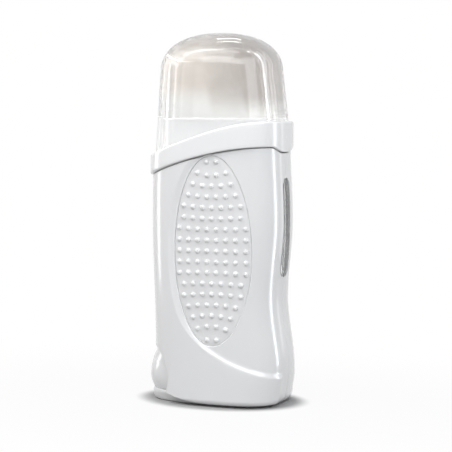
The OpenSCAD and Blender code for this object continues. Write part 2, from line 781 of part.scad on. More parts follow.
pin_x = inlet_face_x + inlet_recess_depth - pin_len;
pin_end_x = inlet_face_x + inlet_len + pin_tag;
module inlet_pins() {
  color("silver") for (y = [-1, 1]) translate([pin_x, y * pin_pitch / 2, inlet_z])
    rotate([0, 90, 0]) cylinder(d = pin_d, h = pin_end_x - pin_x);
}

// How far the base draws in below the halves' rounded lower edge
base_edge_z = edge_top_z + base_gap;
function base_edge_in(z) =
  edge_inset(shell_lift) * min(1, max(0, (base_edge_z - z) / (base_edge_z - shell_lift)));

// Cross-section of the base at a height: the halves' inner outline, swelling out at the left end
round_draw = 0.6;
function base_section(z, inset) =
  let (round = base_round - sqrt(pow(base_round, 2) - pow(max(0, base_round - z), 2)),
       in = shell_wall + base_gap + base_edge_in(z) + round_draw * round + inset,
       left = low_left - in, swell = foot_left - round - inset - left)
  [for (a = ROUND_ANGLES)
    let (p = oval_point(a, left, right_reach(z) - in, half_d - in, body_squareness),
         share = max(0, (foot_swell_x - p[0]) / (foot_swell_x + left)))
    [p[0] - swell * ease(share), p[1], z]];

pillar_left = pillar_left_in - half_w;
pillar_y = chamber_d / 2 - pillar_in;
PILLARS = [for (x = [pillar_left, half_w - pillar_right_in], y = [-pillar_y, pillar_y]) [x, y]];

module base_cover() {
  round_heights = [for (share = [0, 1 / 6, 5 / 12, 17 / 24, 1]) share * base_round];
  color("white") difference() {
    turned([0, 0, 0],
           concat([for (z = concat(round_heights, [shell_lift + edge_round, base_h]))
                     base_section(z, 0)],
                  [base_section(base_h, base_wall), base_section(base_floor, base_wall)]),
           [0, 0, base_floor]);
    for (p = PILLARS) translate([p[0], p[1], -past]) {
      cylinder(d = screw_d + 2 * screw_clearance, h = base_floor + 2 * past);
      cylinder(d = screw_head_d + 2 * screw_clearance,
               h = screw_recess + screw_head_h + stack_gap + past);
    }
  }
}

cross_w = 0.7;
cross_share = 0.6;
module base_screws() {
  color("silver") for (p = PILLARS) translate([p[0], p[1], screw_recess]) {
    difference() {
      cylinder(d = screw_head_d, h = screw_head_h);
      for (turn = [0, 90]) rotate(turn)
        cube([cross_share * screw_head_d, cross_w, screw_head_h], center = true);
    }
    translate([0, 0, screw_head_h / 2]) cylinder(d = screw_d, h = screw_len);
  }
}

// ---- chamber, gasket and carrier ----

chamber_out_w = chamber_w + 2 * chamber_wall;
chamber_out_d = chamber_d + 2 * chamber_wall;
chamber_out_r = chamber_corner + chamber_wall;

module chamber() {
  color("silver") difference() {
    translate([0, 0, chamber_z])
      rounded_bar(chamber_out_w, chamber_out_d, chamber_out_r, chamber_top_z - chamber_z);
    translate([0, 0, chamber_z + chamber_wall])
      rounded_bar(chamber_w, chamber_d, chamber_corner, chamber_top_z - chamber_z);
    translate([chamber_w / 2 - past, 0, window_z])
      slot_bar(window_len - window_w + slot_w, slot_w, chamber_wall + 2 * past);
  }
}

module chamber_gasket() {
  low = chamber_top_z + gasket_gap;
  draw_in = 3 * gasket_gap;
  color("dimgray") translate([0, 0, low]) difference() {
    rounded_bar(chamber_out_w - draw_in, chamber_out_d - draw_in, chamber_out_r,
                neck_z - rim_lip_t - gasket_gap - low);
    translate([0, 0, -past]) rounded_bar(chamber_w, chamber_d, chamber_corner, neck_z - low);
  }
}

carrier_z = chamber_z - stack_gap - carrier_t;
module chamber_bracket() {
  color("gainsboro") difference() {
    union() {
      translate([0, 0, carrier_z]) rounded_bar(chamber_out_w, chamber_out_d, chamber_out_r, carrier_t);
      for (p = PILLARS) translate([p[0], p[1], base_floor])
        cylinder(d = pillar_d, h = carrier_z - base_floor + carrier_t / 2);
    }
    for (p = PILLARS) translate([p[0], p[1], base_floor - past])
      cylinder(d = screw_d + 2 * thread_clearance, h = screw_len + past);
  }
}

// ---- heating ----

plate_w = chamber_w - 2 * chamber_corner;
plate_face = chamber_out_d / 2 + stack_gap;
ptc_face = plate_face + plate_t + stack_gap;
band_face = ptc_face + ptc_t + stack_gap;

// Flat piece of the heating stack, on the front or the back of the chamber
module stack_piece(face, w, t, h, r) {
  translate([0, -face, plate_z]) rotate([90, 0, 0]) linear_extrude(t) {
    square([w, h - 2 * r], center = true);
    square([w - 2 * r, h], center = true);
    for (x = [-1, 1], y = [-1, 1]) translate([x * (w / 2 - r), y * (h / 2 - r)]) circle(r);
  }
}
module heater_plate() { color("silver") stack_piece(plate_face, plate_w, plate_t, plate_h, 2); }
module ptc() { color("peru") stack_piece(ptc_face, ptc_w, ptc_t, ptc_h, 1); }
module heater_plate_front() { heater_plate(); }
module heater_plate_back() { mirror([0, 1, 0]) heater_plate(); }
module ptc_front() { ptc(); }
module ptc_back() { mirror([0, 1, 0]) ptc(); }

// Outline of a spring band: over the elements, then round the chamber's corners
band_corner = 4.2;
band_flank = 0.66;
band_over_plate = 6 * stack_gap;
function band_outline(grow) =
  let (w = chamber_out_w / 2 + stack_gap + grow, d = band_face + grow,
       quarter = [[w, chamber_out_d / 2 - band_flank * chamber_corner],
                  [w - band_corner, d - band_corner], [plate_w / 2 + band_over_plate, d]])
  concat(quarter, [for (i = [2:-1:0]) [-quarter[i][0], quarter[i][1]]],
         [for (q = quarter) [-q[0], -q[1]]], [for (i = [2:-1:0]) [quarter[i][0], -quarter[i][1]]]);

module heater_bands() {
  color("lightsteelblue") for (end = [-1, 1])
    translate([0, 0, plate_z + end * band_pitch / 2 - band_h / 2]) linear_extrude(band_h)
      difference() {
        polygon(band_outline(band_t));
        polygon(band_outline(0));
      }
}

fuse_x = -chamber_out_w / 2 - stack_gap - fuse_d / 2;
module thermal_fuse() {
  color("ivory") translate([fuse_x, 0, fuse_z]) cylinder(d = fuse_d, h = fuse_len);
}

// ---- leads ----

tag_x = pin_end_x + stack_gap + wire_d / 2;
lead_z = carrier_z - lead_drop;
link_z = carrier_z - 2 * lead_drop;
lead_x = lead_drop - plate_w / 2;
lead_y = chamber_out_d / 2 + stack_gap + wire_d / 2;
link_y = (fuse_d + wire_d) / 2 + 0.5;

module wire_live() {
  y = -pin_pitch / 2;
  color("firebrick") rod([
    [tag_x, y, inlet_z], [tag_x, y, lead_z], [fuse_x, 0, lead_z], [fuse_x, 0, fuse_z - stack_gap]
  ], wire_d);
}
module wire_link() {
  color("firebrick") rod([
    [fuse_x, 0, fuse_z + fuse_len + stack_gap], [fuse_x, 0, fuse_z + fuse_len + lead_drop],
    [fuse_x, link_y, fuse_z + fuse_len + lead_drop], [fuse_x, link_y, link_z], [lead_x, -lead_y, link_z],
    [lead_x, -lead_y, plate_z - plate_h / 2 - stack_gap]
  ], wire_d);
}
module wire_neutral() {
  y = pin_pitch / 2;
  color("royalblue") rod([
    [tag_x, y, inlet_z], [tag_x, y, lead_z], [pillar_left - pillar_d - wire_d / 2, pillar_y, lead_z],
    [lead_x, lead_y, lead_z],
    [lead_x, lead_y, plate_z - plate_h / 2 - stack_gap]
  ], wire_d);
}

front_shell();
back_shell();
front_grip();
back_grip();
neck_frame();
cap();
window_lens();
inlet_housing();
inlet_socket();
inlet_pins();
base_cover();
base_screws();
chamber();
chamber_gasket();
chamber_bracket();
heater_plate_front();
heater_plate_back();
ptc_front();
ptc_back();
heater_bands();
thermal_fuse();
wire_live();
wire_link();
wire_neutral();
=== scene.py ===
"""Roll on wax heater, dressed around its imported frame.

The heater stands upright: two moulded halves round a heated cartridge chamber, a swept collar
with a clear domed cap, an oval grip with soft domes on each face and an inlet low on the left.
The outer pieces are rebuilt finely on the frame's own form; the inner pieces keep their solids
and get their finishes here. Sizes in the classes are millimetres; meshes are in metres.
"""

import logging
import math
from dataclasses import dataclass, field
from enum import Enum
from typing import Any, Callable, Optional, Sequence

import bpy
import numpy as np
from mathutils import Matrix, Vector


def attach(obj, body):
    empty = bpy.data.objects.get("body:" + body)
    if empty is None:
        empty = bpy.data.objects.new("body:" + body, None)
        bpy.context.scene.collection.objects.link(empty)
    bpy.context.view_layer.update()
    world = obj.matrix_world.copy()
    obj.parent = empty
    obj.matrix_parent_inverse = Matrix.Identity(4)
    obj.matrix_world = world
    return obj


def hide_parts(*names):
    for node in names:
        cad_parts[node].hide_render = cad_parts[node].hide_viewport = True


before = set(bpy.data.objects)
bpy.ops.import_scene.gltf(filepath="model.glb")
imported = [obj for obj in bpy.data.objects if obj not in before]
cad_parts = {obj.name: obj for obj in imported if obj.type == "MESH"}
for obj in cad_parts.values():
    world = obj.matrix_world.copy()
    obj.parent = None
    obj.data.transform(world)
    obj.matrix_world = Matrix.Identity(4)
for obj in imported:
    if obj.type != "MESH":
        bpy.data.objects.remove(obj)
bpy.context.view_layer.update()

LOG = logging.getLogger("wax_heater")
MM = 0.001

EDGE_START = 0.85  # where the lower edge's rounding starts, as a share of its radius
TABLE_STEPS = 24001  # steps of a table round half of a section; a whole one has twice as many
QUARTER = (0, 15, 30, 45, 60, 75, 90)


# ---------------------------------------------------------------------------------------------
# Modelling helpers
# ---------------------------------------------------------------------------------------------


class Face(Enum):
    """The broad face that a piece belongs to; the value is its direction along Y."""

    FRONT = -1.0
    BACK = 1.0


def deselect_all() -> None:
    """Leaves edit mode and deselects every object."""
    if bpy.context.mode != "OBJECT":
        bpy.ops.object.mode_set(mode="OBJECT")
    bpy.ops.object.select_all(action="DESELECT")


def pick(piece: bpy.types.Object) -> None:
    """Selects one object alone and makes it active."""
    deselect_all()
    piece.select_set(True)
    bpy.context.view_layer.objects.active = piece


def added(name: str) -> bpy.types.Object:
    """Names the object that an operator has just added, and its mesh."""
    piece = bpy.context.active_object
    piece.name = name
    piece.data.name = name
    return piece


def edit(piece: bpy.types.Object, work: Callable[[], Any], everything: bool = True) -> None:
    """Runs operators on a piece in edit mode.

    Args:
        piece: The object to work on.
        work: The operators, run with the mesh in edit mode.
        everything: Whether all of the mesh is selected first.
    """
    pick(piece)
    bpy.ops.object.mode_set(mode="EDIT")
    if everything:
        bpy.ops.mesh.select_all(action="SELECT")
    work()
    bpy.ops.object.mode_set(mode="OBJECT")


def face_outward(piece: bpy.types.Object) -> None:
    """Points every face of a closed mesh outwards."""
    edit(piece, lambda: bpy.ops.mesh.normals_make_consistent(inside=False))


def apply_modifier(piece: bpy.types.Object, kind: str, **settings: Any) -> None:
    """Adds a modifier with its settings and applies it.

    Args:
        piece: The object that gets the modifier.
        kind: The modifier's type.
        **settings: Values of the modifier's own properties.
    """
    pick(piece)
    modifier = piece.modifiers.new(kind.title(), kind)
    for key, value in settings.items():
        setattr(modifier, key, value)
    bpy.ops.object.modifier_apply(modifier=modifier.name)


def cut(piece: bpy.types.Object, cutter: bpy.types.Object, operation: str = "DIFFERENCE") -> None:
    """Cuts a piece with another closed mesh, which is used up."""
    settle(cutter)
    apply_modifier(piece, "BOOLEAN", operation=operation, solver="EXACT", object=cutter)
    bpy.data.objects.remove(cutter, do_unlink=True)


def settle(piece: bpy.types.Object) -> None:
    """Puts an object's place, turn and scale into its mesh."""
    pick(piece)
    bpy.ops.object.transform_apply(location=True, rotation=True, scale=True)


def smooth(piece: bpy.types.Object, degrees: float = 35.0) -> None:
    """Shades a piece smooth, with edges sharper than an angle kept crisp."""
    pick(piece)
    bpy.ops.object.shade_smooth_by_angle(angle=math.radians(degrees))


def join(pieces: Sequence[bpy.types.Object], name: str) -> bpy.types.Object:
    """Joins several objects into one mesh.

    Args:
        pieces: The objects, used up by the join.
        name: The joined object's name.

    Returns:
        The joined object.
    """
    deselect_all()
    for piece in pieces:
        piece.select_set(True)
    bpy.context.view_layer.objects.active = pieces[0]
    bpy.ops.object.join()
    return added(name)


def copy_of_node(node: str, name: str) -> bpy.types.Object:
    """Copies a frame solid's mesh, merges its loose corners and clears its flat seams.

    Args:
        node: The frame node that is copied.
        name: The new object's name.

    Returns:
        The new object, with its mesh in place.
    """
    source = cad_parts[node]
    piece = bpy.data.objects.new(name, source.data.copy())
    piece.data.name = name
    piece.data.materials.clear()
    bpy.context.scene.collection.objects.link(piece)

    def work() -> None:
        """Merges doubles and dissolves flat seams."""
        bpy.ops.mesh.remove_doubles(threshold=1e-6)
        bpy.ops.mesh.dissolve_limited(angle_limit=math.radians(0.6))

    edit(piece, work)
    return piece


def write_points(piece: bpy.types.Object, points: np.ndarray) -> None:
    """Gives a mesh's corners their places, in millimetres."""
    piece.data.vertices.foreach_set("co", (points * MM).astype(np.float32).ravel())
    piece.data.update()


def corners(piece: bpy.types.Object) -> np.ndarray:
    """Reads a mesh's corners as an array with one row each."""
    co = np.zeros(len(piece.data.vertices) * 3, np.float32)
    piece.data.vertices.foreach_get("co", co)
    return co.reshape(-1, 3)


def shaped_ring(name: str, sections: np.ndarray) -> bpy.types.Object:
    """Shapes a torus into a closed ring of sections.

    Args:
        name: The object's name.
        sections: Places in millimetres, as sections by columns by 3; the last section joins
            the first again, and so do the columns.

    Returns:
        The object, its faces outward.
    """
    rows, cols = sections.shape[:2]
    deselect_all()
    bpy.ops.mesh.primitive_torus_add(
        major_segments=cols, minor_segments=rows, major_radius=2.0, minor_radius=1.0
    )
    piece = added(name)
    co = corners(piece)
    col = np.rint(np.arctan2(co[:, 1], co[:, 0]) / math.tau * cols).astype(int) % cols
    out = np.hypot(co[:, 0], co[:, 1]) - 2.0
    row = np.rint(np.arctan2(co[:, 2], out) / math.tau * rows).astype(int) % rows
    write_points(piece, sections[row, col])
    face_outward(piece)
    return piece


def shaped_ball(
    name: str, first: Sequence[float], sections: np.ndarray, last: Sequence[float]
) -> bpy.types.Object:
    """Shapes a sphere into a closed form that ends in a point at both ends.

    Args:
        name: The object's name.
        first: The first pole, in millimetres.
        sections: Places in millimetres, as sections by columns by 3.
        last: The last pole, in millimetres.

    Returns:
        The object, its faces outward.
    """
    rows, cols = sections.shape[:2]
    deselect_all()
    bpy.ops.mesh.primitive_uv_sphere_add(segments=cols, ring_count=rows + 1, radius=1.0)
    piece = added(name)
    co = corners(piece)
    turn = np.arccos(np.clip(co[:, 2], -1, 1)) / math.pi * (rows + 1)
    row = np.rint(turn).astype(int)
    col = np.rint(np.arctan2(co[:, 1], co[:, 0]) / math.tau * cols).astype(int) % cols
    points = np.zeros((len(co), 3))
    inside = (row > 0) & (row < rows + 1)
    points[inside] = sections[row[inside] - 1, col[inside]]
    points[row == 0] = first
    points[row == rows + 1] = last
    write_points(piece, points)
    face_outward(piece)
    return piece


def cylinder(
    name: str, radius: float, length: float, sides: int,
    at: Sequence[float] = (0, 0, 0), turn: Sequence[float] = (0, 0, 0),
) -> bpy.types.Object:
    """Adds a cylinder.

    Args:
        name: The object's name.
        radius: Its radius in millimetres.
        length: Its length in millimetres.
        sides: Its number of sides.
        at: Its middle in millimetres.
        turn: Its turn in radians.

    Returns:
        The object.
    """
    deselect_all()
    bpy.ops.mesh.primitive_cylinder_add(
        vertices=sides, radius=radius * MM, depth=length * MM,
        location=[c * MM for c in at], rotation=turn,
    )
    return added(name)


def round_edges(piece: bpy.types.Object, width: float, segments: int = 3) -> None:
    """Rounds a piece's sharp edges by a width in millimetres."""
    apply_modifier(piece, "BEVEL", width=width * MM, segments=segments, limit_method="ANGLE",
                   angle_limit=math.radians(50))


def spread(one: bpy.types.Object, places: Sequence[Any], name: str) -> bpy.types.Object:
    """Joins copies of a piece into one mesh.

    Args:
        one: The piece, used up.
        places: The copies' places, in metres.
        name: The joined object's name.

    Returns:
        The joined object.
    """
    copies = []
    for place in places:
        mesh = one.data.copy()
        mesh.transform(Matrix.Translation(place))
        copy = bpy.data.objects.new("copy", mesh)
        bpy.context.scene.collection.objects.link(copy)
        copies.append(copy)
    bpy.data.objects.remove(one, do_unlink=True)
    return join(copies, name)


# ---------------------------------------------------------------------------------------------
# Shader helpers
# ---------------------------------------------------------------------------------------------


@dataclass
class Value:
    """A number in a material, with arithmetic that adds Math nodes."""

    desk: "Desk"
    socket: Any

    def _math(self, operation: str, first: Any, second: Any) -> "Value":
        """Adds one Math node on two numbers or values."""
        node = self.desk.add("ShaderNodeMath", {"operation": operation}, {0: first, 1: second})
        return Value(self.desk, node.outputs[0])

    def __add__(self, other: Any) -> "Value":
        """Sum."""
        return self._math("ADD", self, other)

    __radd__ = __add__

    def __mul__(self, other: Any) -> "Value":
        """Product."""
        return self._math("MULTIPLY", self, other)

    __rmul__ = __mul__

    def __sub__(self, other: Any) -> "Value":
        """Difference."""
        return self._math("SUBTRACT", self, other)

    def __rsub__(self, other: Any) -> "Value":
        """Difference the other way round."""
        return self._math("SUBTRACT", other, self)

    def __truediv__(self, other: Any) -> "Value":
        """Quotient."""
        return self._math("DIVIDE", self, other)

    def __pow__(self, other: Any) -> "Value":
        """Power."""
        return self._math("POWER", self, other)

    def highest(self, other: Any) -> "Value":
        """The larger of two."""
        return self._math("MAXIMUM", self, other)


class Desk:
    """Builds the nodes of one material or of the surroundings."""

    def __init__(self, name: str, surroundings: bool = False) -> None:
        """Starts an empty material or empty surroundings.

        Args:
            name: The name in Blender.
            surroundings: Whether these are the scene's surroundings.
        """
        made = bpy.data.worlds if surroundings else bpy.data.materials
        self.material = made.new(name)
        self.material.use_nodes = True
        self.tree = self.material.node_tree
        self.tree.nodes.clear()
        end = "ShaderNodeOutputWorld" if surroundings else "ShaderNodeOutputMaterial"
        self.output = self.tree.nodes.new(end)

    def add(
        self, kind: str, settings: Optional[dict] = None, inputs: Optional[dict] = None
    ) -> Any:
        """Adds a node.

        Args:
            kind: The node's type.
            settings: Its own properties, set first; "stops" gives a ramp's places and colours.
            inputs: Numbers, colours or links for its sockets, by name or by place.

        Returns:
            The node.
        """
        node = self.tree.nodes.new(kind)
        for key, value in (settings or {}).items():
            if key == "stops":
                ramp = node.color_ramp
                while len(ramp.elements) < len(value):
                    ramp.elements.new(0.5)
                for element, (place, colour) in zip(ramp.elements, value):
                    element.position = place
                    element.color = (*colour, 1.0)
            else:
                setattr(node, key, value)
        for key, value in (inputs or {}).items():
            self.feed(node.inputs[key], value)
        return node

    def feed(self, socket: Any, value: Any) -> None:
        """Sets a socket to a number or colour, or links it to a value or output."""
        if isinstance(value, Value):
            self.tree.links.new(value.socket, socket)
        elif isinstance(value, bpy.types.NodeSocket):
            self.tree.links.new(value, socket)
        elif isinstance(value, (tuple, list)) and len(value) == 3 and socket.type == "RGBA":
            socket.default_value = (*value, 1.0)
        else:
            socket.default_value = value

    def place(self) -> Any:
        """The object's own coordinates, in metres."""
        return self.add("ShaderNodeTexCoord").outputs["Object"]

    def stretched(self, scale: Sequence[float]) -> Any:
        """Object coordinates with a scale of their own along each axis."""
        return self.add(
            "ShaderNodeMapping", None, {"Vector": self.place(), "Scale": tuple(scale)}
        ).outputs[0]

    def axis(self, name: str) -> Value:
        """One of the object's coordinates, "X", "Y" or "Z"."""
        split = self.add("ShaderNodeSeparateXYZ", None, {0: self.place()})
        return Value(self, split.outputs[name])

    def noise(
        self, scale: float, detail: float = 3.0, rough: float = 0.5, at: Any = None
    ) -> Value:
        """A noise pattern between 0 and 1.

        Args:
            scale: Patches per metre.
            detail: Number of finer layers.
            rough: Strength of the finer layers.
            at: Coordinates, the object's own if left out.

        Returns:
            The pattern.
        """
        node = self.add(
            "ShaderNodeTexNoise",
            None,
            {
                "Vector": at if at is not None else self.place(),
                "Scale": scale,
                "Detail": detail,
                "Roughness": rough,
            },
        )
        return Value(self, node.outputs[0])

    def span(self, value: Value, low: float, high: float, a: float, b: float) -> Value:
        """Maps a value from one range to another, clamped and eased."""
        node = self.add(
            "ShaderNodeMapRange",
            {"interpolation_type": "SMOOTHSTEP"},
            {"Value": value, "From Min": low, "From Max": high, "To Min": a, "To Max": b},
        )
        return Value(self, node.outputs[0])

    def mix(self, share: Any, first: Any, second: Any) -> Any:
        """Mixes two colours and returns the colour output."""
        node = self.add("ShaderNodeMix", {"data_type": "RGBA"})
        self.feed(node.inputs[0], share)
        self.feed(node.inputs[6], first)
        self.feed(node.inputs[7], second)
        return node.outputs[2]

    def bump(self, height: Value, depth: float, strength: float = 1.0) -> Any:
        """A bumped normal; the depth is in metres."""
        node = self.add(
            "ShaderNodeBump", None, {"Height": height, "Distance": depth, "Strength": strength}
        )
        return node.outputs[0]

    def surface(self, **inputs: Any) -> bpy.types.Material:
        """Ends the material in one Principled shader.

        Args:
            **inputs: Its sockets by name, with underscores for spaces.

        Returns:
            The material.
        """
        named = {key.replace("_", " "): value for key, value in inputs.items()}
        shader = self.add("ShaderNodeBsdfPrincipled", None, named)
        self.tree.links.new(shader.outputs[0], self.output.inputs[0])
        return self.material


# ---------------------------------------------------------------------------------------------
# Finishes
# ---------------------------------------------------------------------------------------------

Colour = tuple[float, float, float]


@dataclass(frozen=True)
class Finish:
    """What every finish has: a name for its material and a slot name."""

    name: str
    slot: str

    def material(self) -> bpy.types.Material:
        """Returns the finish's material, made once."""
        made = bpy.data.materials.get(self.name)
        return made if made is not None else self.build(Desk(self.name))

    def build(self, desk: Desk) -> bpy.types.Material:
        """Builds the material's nodes."""
        raise NotImplementedError


@dataclass(frozen=True)
class MouldedPlastic(Finish):
    """Opaque moulded plastic: a faint drift of tone, a moulded micro grain and soft waviness."""

    tint: Colour = (0.8, 0.8, 0.8)
    drift: float = 0.008
    gloss: float = 0.22
    grain: float = 2600.0
    grain_depth: float = 0.000003
    wave_depth: float = 0.00001
    coat: float = 0.6

    def build(self, desk: Desk) -> bpy.types.Material:
        """Builds the plastic."""
        cloud = desk.noise(28.0, 2.0)
        fine = desk.noise(self.grain, 4.0, 0.6)
        wave = desk.noise(45.0, 1.0)
        handled = desk.noise(260.0, 5.0, 0.65)
        dark = tuple(c * (1.0 - self.drift * 2) for c in self.tint)
        colour = desk.mix(desk.span(cloud, 0.3, 0.7, 0.0, 1.0), dark, self.tint)
        roughness = self.gloss + (fine - 0.5) * 0.05 + desk.span(handled, 0.45, 0.8, 0.0, 0.02)
        low = desk.bump(wave, self.wave_depth, 0.6)
        normal = desk.add(
            "ShaderNodeBump",
            None,
            {"Height": fine, "Distance": self.grain_depth, "Strength": 0.8, "Normal": low},
        ).outputs[0]
        return desk.surface(
            Base_Color=colour,
            Roughness=roughness,
            Normal=normal,
            Coat_Weight=self.coat,
            Coat_Roughness=0.1,
            IOR=1.5,
        )


@dataclass(frozen=True)
class SoftTouch(Finish):
    """Matt grip plastic with a spark eroded texture, or smoother on the raised domes."""

    tint: Colour = (0.7, 0.7, 0.7)
    gloss: float = 0.5
    pebble: float = 1500.0
    pebble_depth: float = 0.00006

    def build(self, desk: Desk) -> bpy.types.Material:
        """Builds the textured plastic."""
        cells = desk.add(
            "ShaderNodeTexVoronoi",
            {"feature": "SMOOTH_F1"},
            {"Vector": desk.place(), "Scale": self.pebble, "Smoothness": 0.6},
        )
        pebbles = Value(desk, cells.outputs[0])
        fine = desk.noise(self.pebble * 2.2, 3.0, 0.6)
        height = pebbles * 0.7 + fine * 0.5
        cloud = desk.noise(35.0, 3.0)
        shade = desk.span(pebbles, 0.1, 0.9, 0.0, 0.5) + desk.span(cloud, 0.3, 0.7, 0.0, 0.5)
        dark = tuple(c * 0.94 for c in self.tint)
        return desk.surface(
            Base_Color=desk.mix(shade, self.tint, dark),
            Roughness=self.gloss + (fine - 0.5) * 0.14,
            Normal=desk.bump(height, self.pebble_depth, 0.8),
            Coat_Weight=0.0,
            IOR=1.47,
        )


@dataclass(frozen=True)
class ClearPlastic(Finish):
    """Clear moulded plastic with a faint smoky tint, moulding flow lines, painted shade where it is
    seen edge on and, when set, painted shade towards its right side.
    """

    tint: Colour = (0.9, 0.9, 0.9)
    low_tint: Colour = (0.9, 0.9, 0.9)
    # Painted shade: the dark colour of rims seen edge on.
    painted_rim_shade: Colour = (0.6, 0.6, 0.6)
    tint_low: float = 0.0
    tint_high: float = 1.0
    gloss: float = 0.03
    body: float = 0.6
    low_body: float = 0.6
    # Painted shade towards the right side: the darker colour there, and how much lower the deeper
    # upper tone reaches.
    painted_right_shade: Colour = (0.8, 0.8, 0.8)
    right_shade_drop: float = 0.0
    skirt_z: float = 0.0
    skirt_body: float = 0.6

    def build(self, desk: Desk) -> bpy.types.Material:
        """Builds the clear plastic, deeper in tone higher up, with painted shade where it is seen
        edge on and towards its right side.
        """
        height = desk.axis("Z")
        flow = desk.noise(30.0, 2.0, 0.5, desk.stretched((1.0, 1.0, 0.35)))
        # Painted shade: towards the right side the deeper upper tone starts lower.
        lean = desk.span(desk.axis("X"), 0.0, 0.006, 0.0, self.right_shade_drop)
        level = height + (flow - 0.5) * 0.012 + lean
        shade = desk.span(level, self.tint_low, self.tint_high, 0.0, 1.0)
        low = desk.span(height, self.skirt_z - 0.0015, self.skirt_z, self.skirt_body, self.low_body)
        haze = desk.noise(420.0, 4.0, 0.6)
        # Painted shade: where the plastic is seen edge on, its colour turns dark grey and it grows
        # less clear, which paints dark rim lines.
        facing = Value(desk, desk.add("ShaderNodeLayerWeight", None, {0: 0.5}).outputs["Facing"])
        rim_shade_share = desk.span(facing, 0.45, 0.92, 0.0, 1.0)
        # Painted shade: the colour turns darker towards the right side, across a noisy border.
        shade_wobble = desk.noise(38.0, 2.0, 0.5)
        across = desk.span(desk.axis("X") + (shade_wobble - 0.5) * 0.04, -0.022, 0.018, 0.0, 1.0)
        tone = desk.mix(across, self.tint, self.painted_right_shade)
        return desk.surface(
            Base_Color=desk.mix(rim_shade_share, desk.mix(shade, self.low_tint, tone), self.painted_rim_shade),
            Roughness=self.gloss + desk.span(haze, 0.55, 0.85, 0.0, 0.03),
            Normal=desk.bump(flow, 0.00012, 0.35),
            Alpha=low + shade * (self.body - self.low_body) + rim_shade_share * (0.95 - self.body),
            Transmission_Weight=1.0,
            IOR=1.49,
        )


@dataclass(frozen=True)
class DrawnMetal(Finish):
    """Metal with fine drawing lines along one axis and slight tarnish."""

    tint: Colour = (0.8, 0.8, 0.8)
    gloss: float = 0.3
    lines: tuple[float, float, float] = (900.0, 900.0, 40.0)
    tarnish: float = 0.12

    def build(self, desk: Desk) -> bpy.types.Material:
        """Builds the metal."""
        streak = desk.noise(1.0, 4.0, 0.7, desk.stretched(self.lines))
        stain = desk.noise(140.0, 4.0, 0.6)
        dull = desk.span(stain, 0.45, 0.75, 0.0, 1.0)
        dark = tuple(c * (1.0 - self.tarnish * 2.0) for c in self.tint)
        return desk.surface(
            Base_Color=desk.mix(dull, self.tint, dark),
            Metallic=1.0,
            Roughness=self.gloss + (streak - 0.5) * 0.16 + dull * self.tarnish,
            Normal=desk.bump(streak, 0.00002, 0.5),
        )


@dataclass(frozen=True)
class Rubber(Finish):
    """Dull silicone with fine dust in its pores."""

    tint: Colour = (0.3, 0.3, 0.3)

    def build(self, desk: Desk) -> bpy.types.Material:
        """Builds the silicone."""
        dust = desk.noise(900.0, 5.0, 0.65)
        pores = desk.noise(3200.0, 2.0)
        pale = tuple(min(1.0, c + 0.08) for c in self.tint)
        return desk.surface(
            Base_Color=desk.mix(desk.span(dust, 0.5, 0.8, 0.0, 0.6), self.tint, pale),
            Roughness=0.62 + (pores - 0.5) * 0.2,
            Normal=desk.bump(pores, 0.00003, 0.6),
            Sheen_Weight=0.15,
        )


@dataclass(frozen=True)
class FiredCeramic(Finish):
    """Fired ceramic with a speckled body."""

    tint: Colour = (0.6, 0.4, 0.3)
    speck: Colour = (0.3, 0.2, 0.15)
    gloss: float = 0.55

    def build(self, desk: Desk) -> bpy.types.Material:
        """Builds the ceramic."""
        specks = desk.noise(2400.0, 5.0, 0.75)
        cloud = desk.noise(90.0, 2.0)
        share = desk.span(specks, 0.56, 0.72, 0.0, 0.7) + desk.span(cloud, 0.4, 0.7, 0.0, 0.15)
        return desk.surface(
            Base_Color=desk.mix(share, self.tint, self.speck),
            Roughness=self.gloss + (specks - 0.5) * 0.25,
            Normal=desk.bump(specks, 0.00003, 0.7),
        )


SHELL_WHITE = MouldedPlastic("shell_white", "shell", (0.80, 0.80, 0.806), gloss=0.24)
# Painted light: the halves' white plastic made paler, so that the collar and the neck under the
# clear cap look more lit.
LIT_NECK_WHITE = MouldedPlastic("neck_white_lit", "shell", (0.875, 0.875, 0.877), gloss=0.26)
# Painted light: the white plastic made paler than the halves, so that the foot in the housing's
# shade looks lit; its gloss and thinner coat are its own.
LIT_BASE_WHITE = MouldedPlastic("base_white_lit", "shell", (0.90, 0.90, 0.903), gloss=0.3, coat=0.2)
GRIP_MATT = SoftTouch("grip_matt", "grip", (0.80, 0.80, 0.803), gloss=0.5)
# Painted light: the grip plastic made paler on the domes, so that they look lit; their finer,
# glossier texture is their own.
LIT_GRIP_DOMES = SoftTouch(
    "grip_domes", "grip", (0.86, 0.86, 0.863), gloss=0.2, pebble=2600.0, pebble_depth=0.00001
)
CAP_CLEAR = ClearPlastic(
    "cap_clear", "clear_cap", tint=(0.87, 0.815, 0.755), low_tint=(0.855, 0.86, 0.84),
    painted_rim_shade=(0.22, 0.22, 0.223), tint_low=0.163, tint_high=0.178, gloss=0.03, body=0.6,
    low_body=0.46, painted_right_shade=(0.50, 0.465, 0.44), right_shade_drop=0.008, skirt_z=0.1585,
    skirt_body=0.06,
)
WINDOW_CLEAR = ClearPlastic(
    "window_clear", "clear_window", tint=(0.80, 0.81, 0.82), low_tint=(0.80, 0.81, 0.82),
    painted_rim_shade=(0.35, 0.35, 0.35), tint_low=0.0, tint_high=1.0, gloss=0.05, body=0.8,
    low_body=0.8, painted_right_shade=(0.80, 0.81, 0.82),
)
SOCKET_BLACK = MouldedPlastic(
    "socket_black", "socket", (0.025, 0.025, 0.027), gloss=0.42, grain=1800.0,
    grain_depth=0.00001, coat=0.0,
)
CARRIER_PLASTIC = MouldedPlastic(
    "carrier_plastic", "carrier", (0.62, 0.6, 0.54), gloss=0.48, coat=0.0, drift=0.03
)
CHAMBER_METAL = DrawnMetal("chamber_metal", "chamber", (0.62, 0.63, 0.64), 0.34)
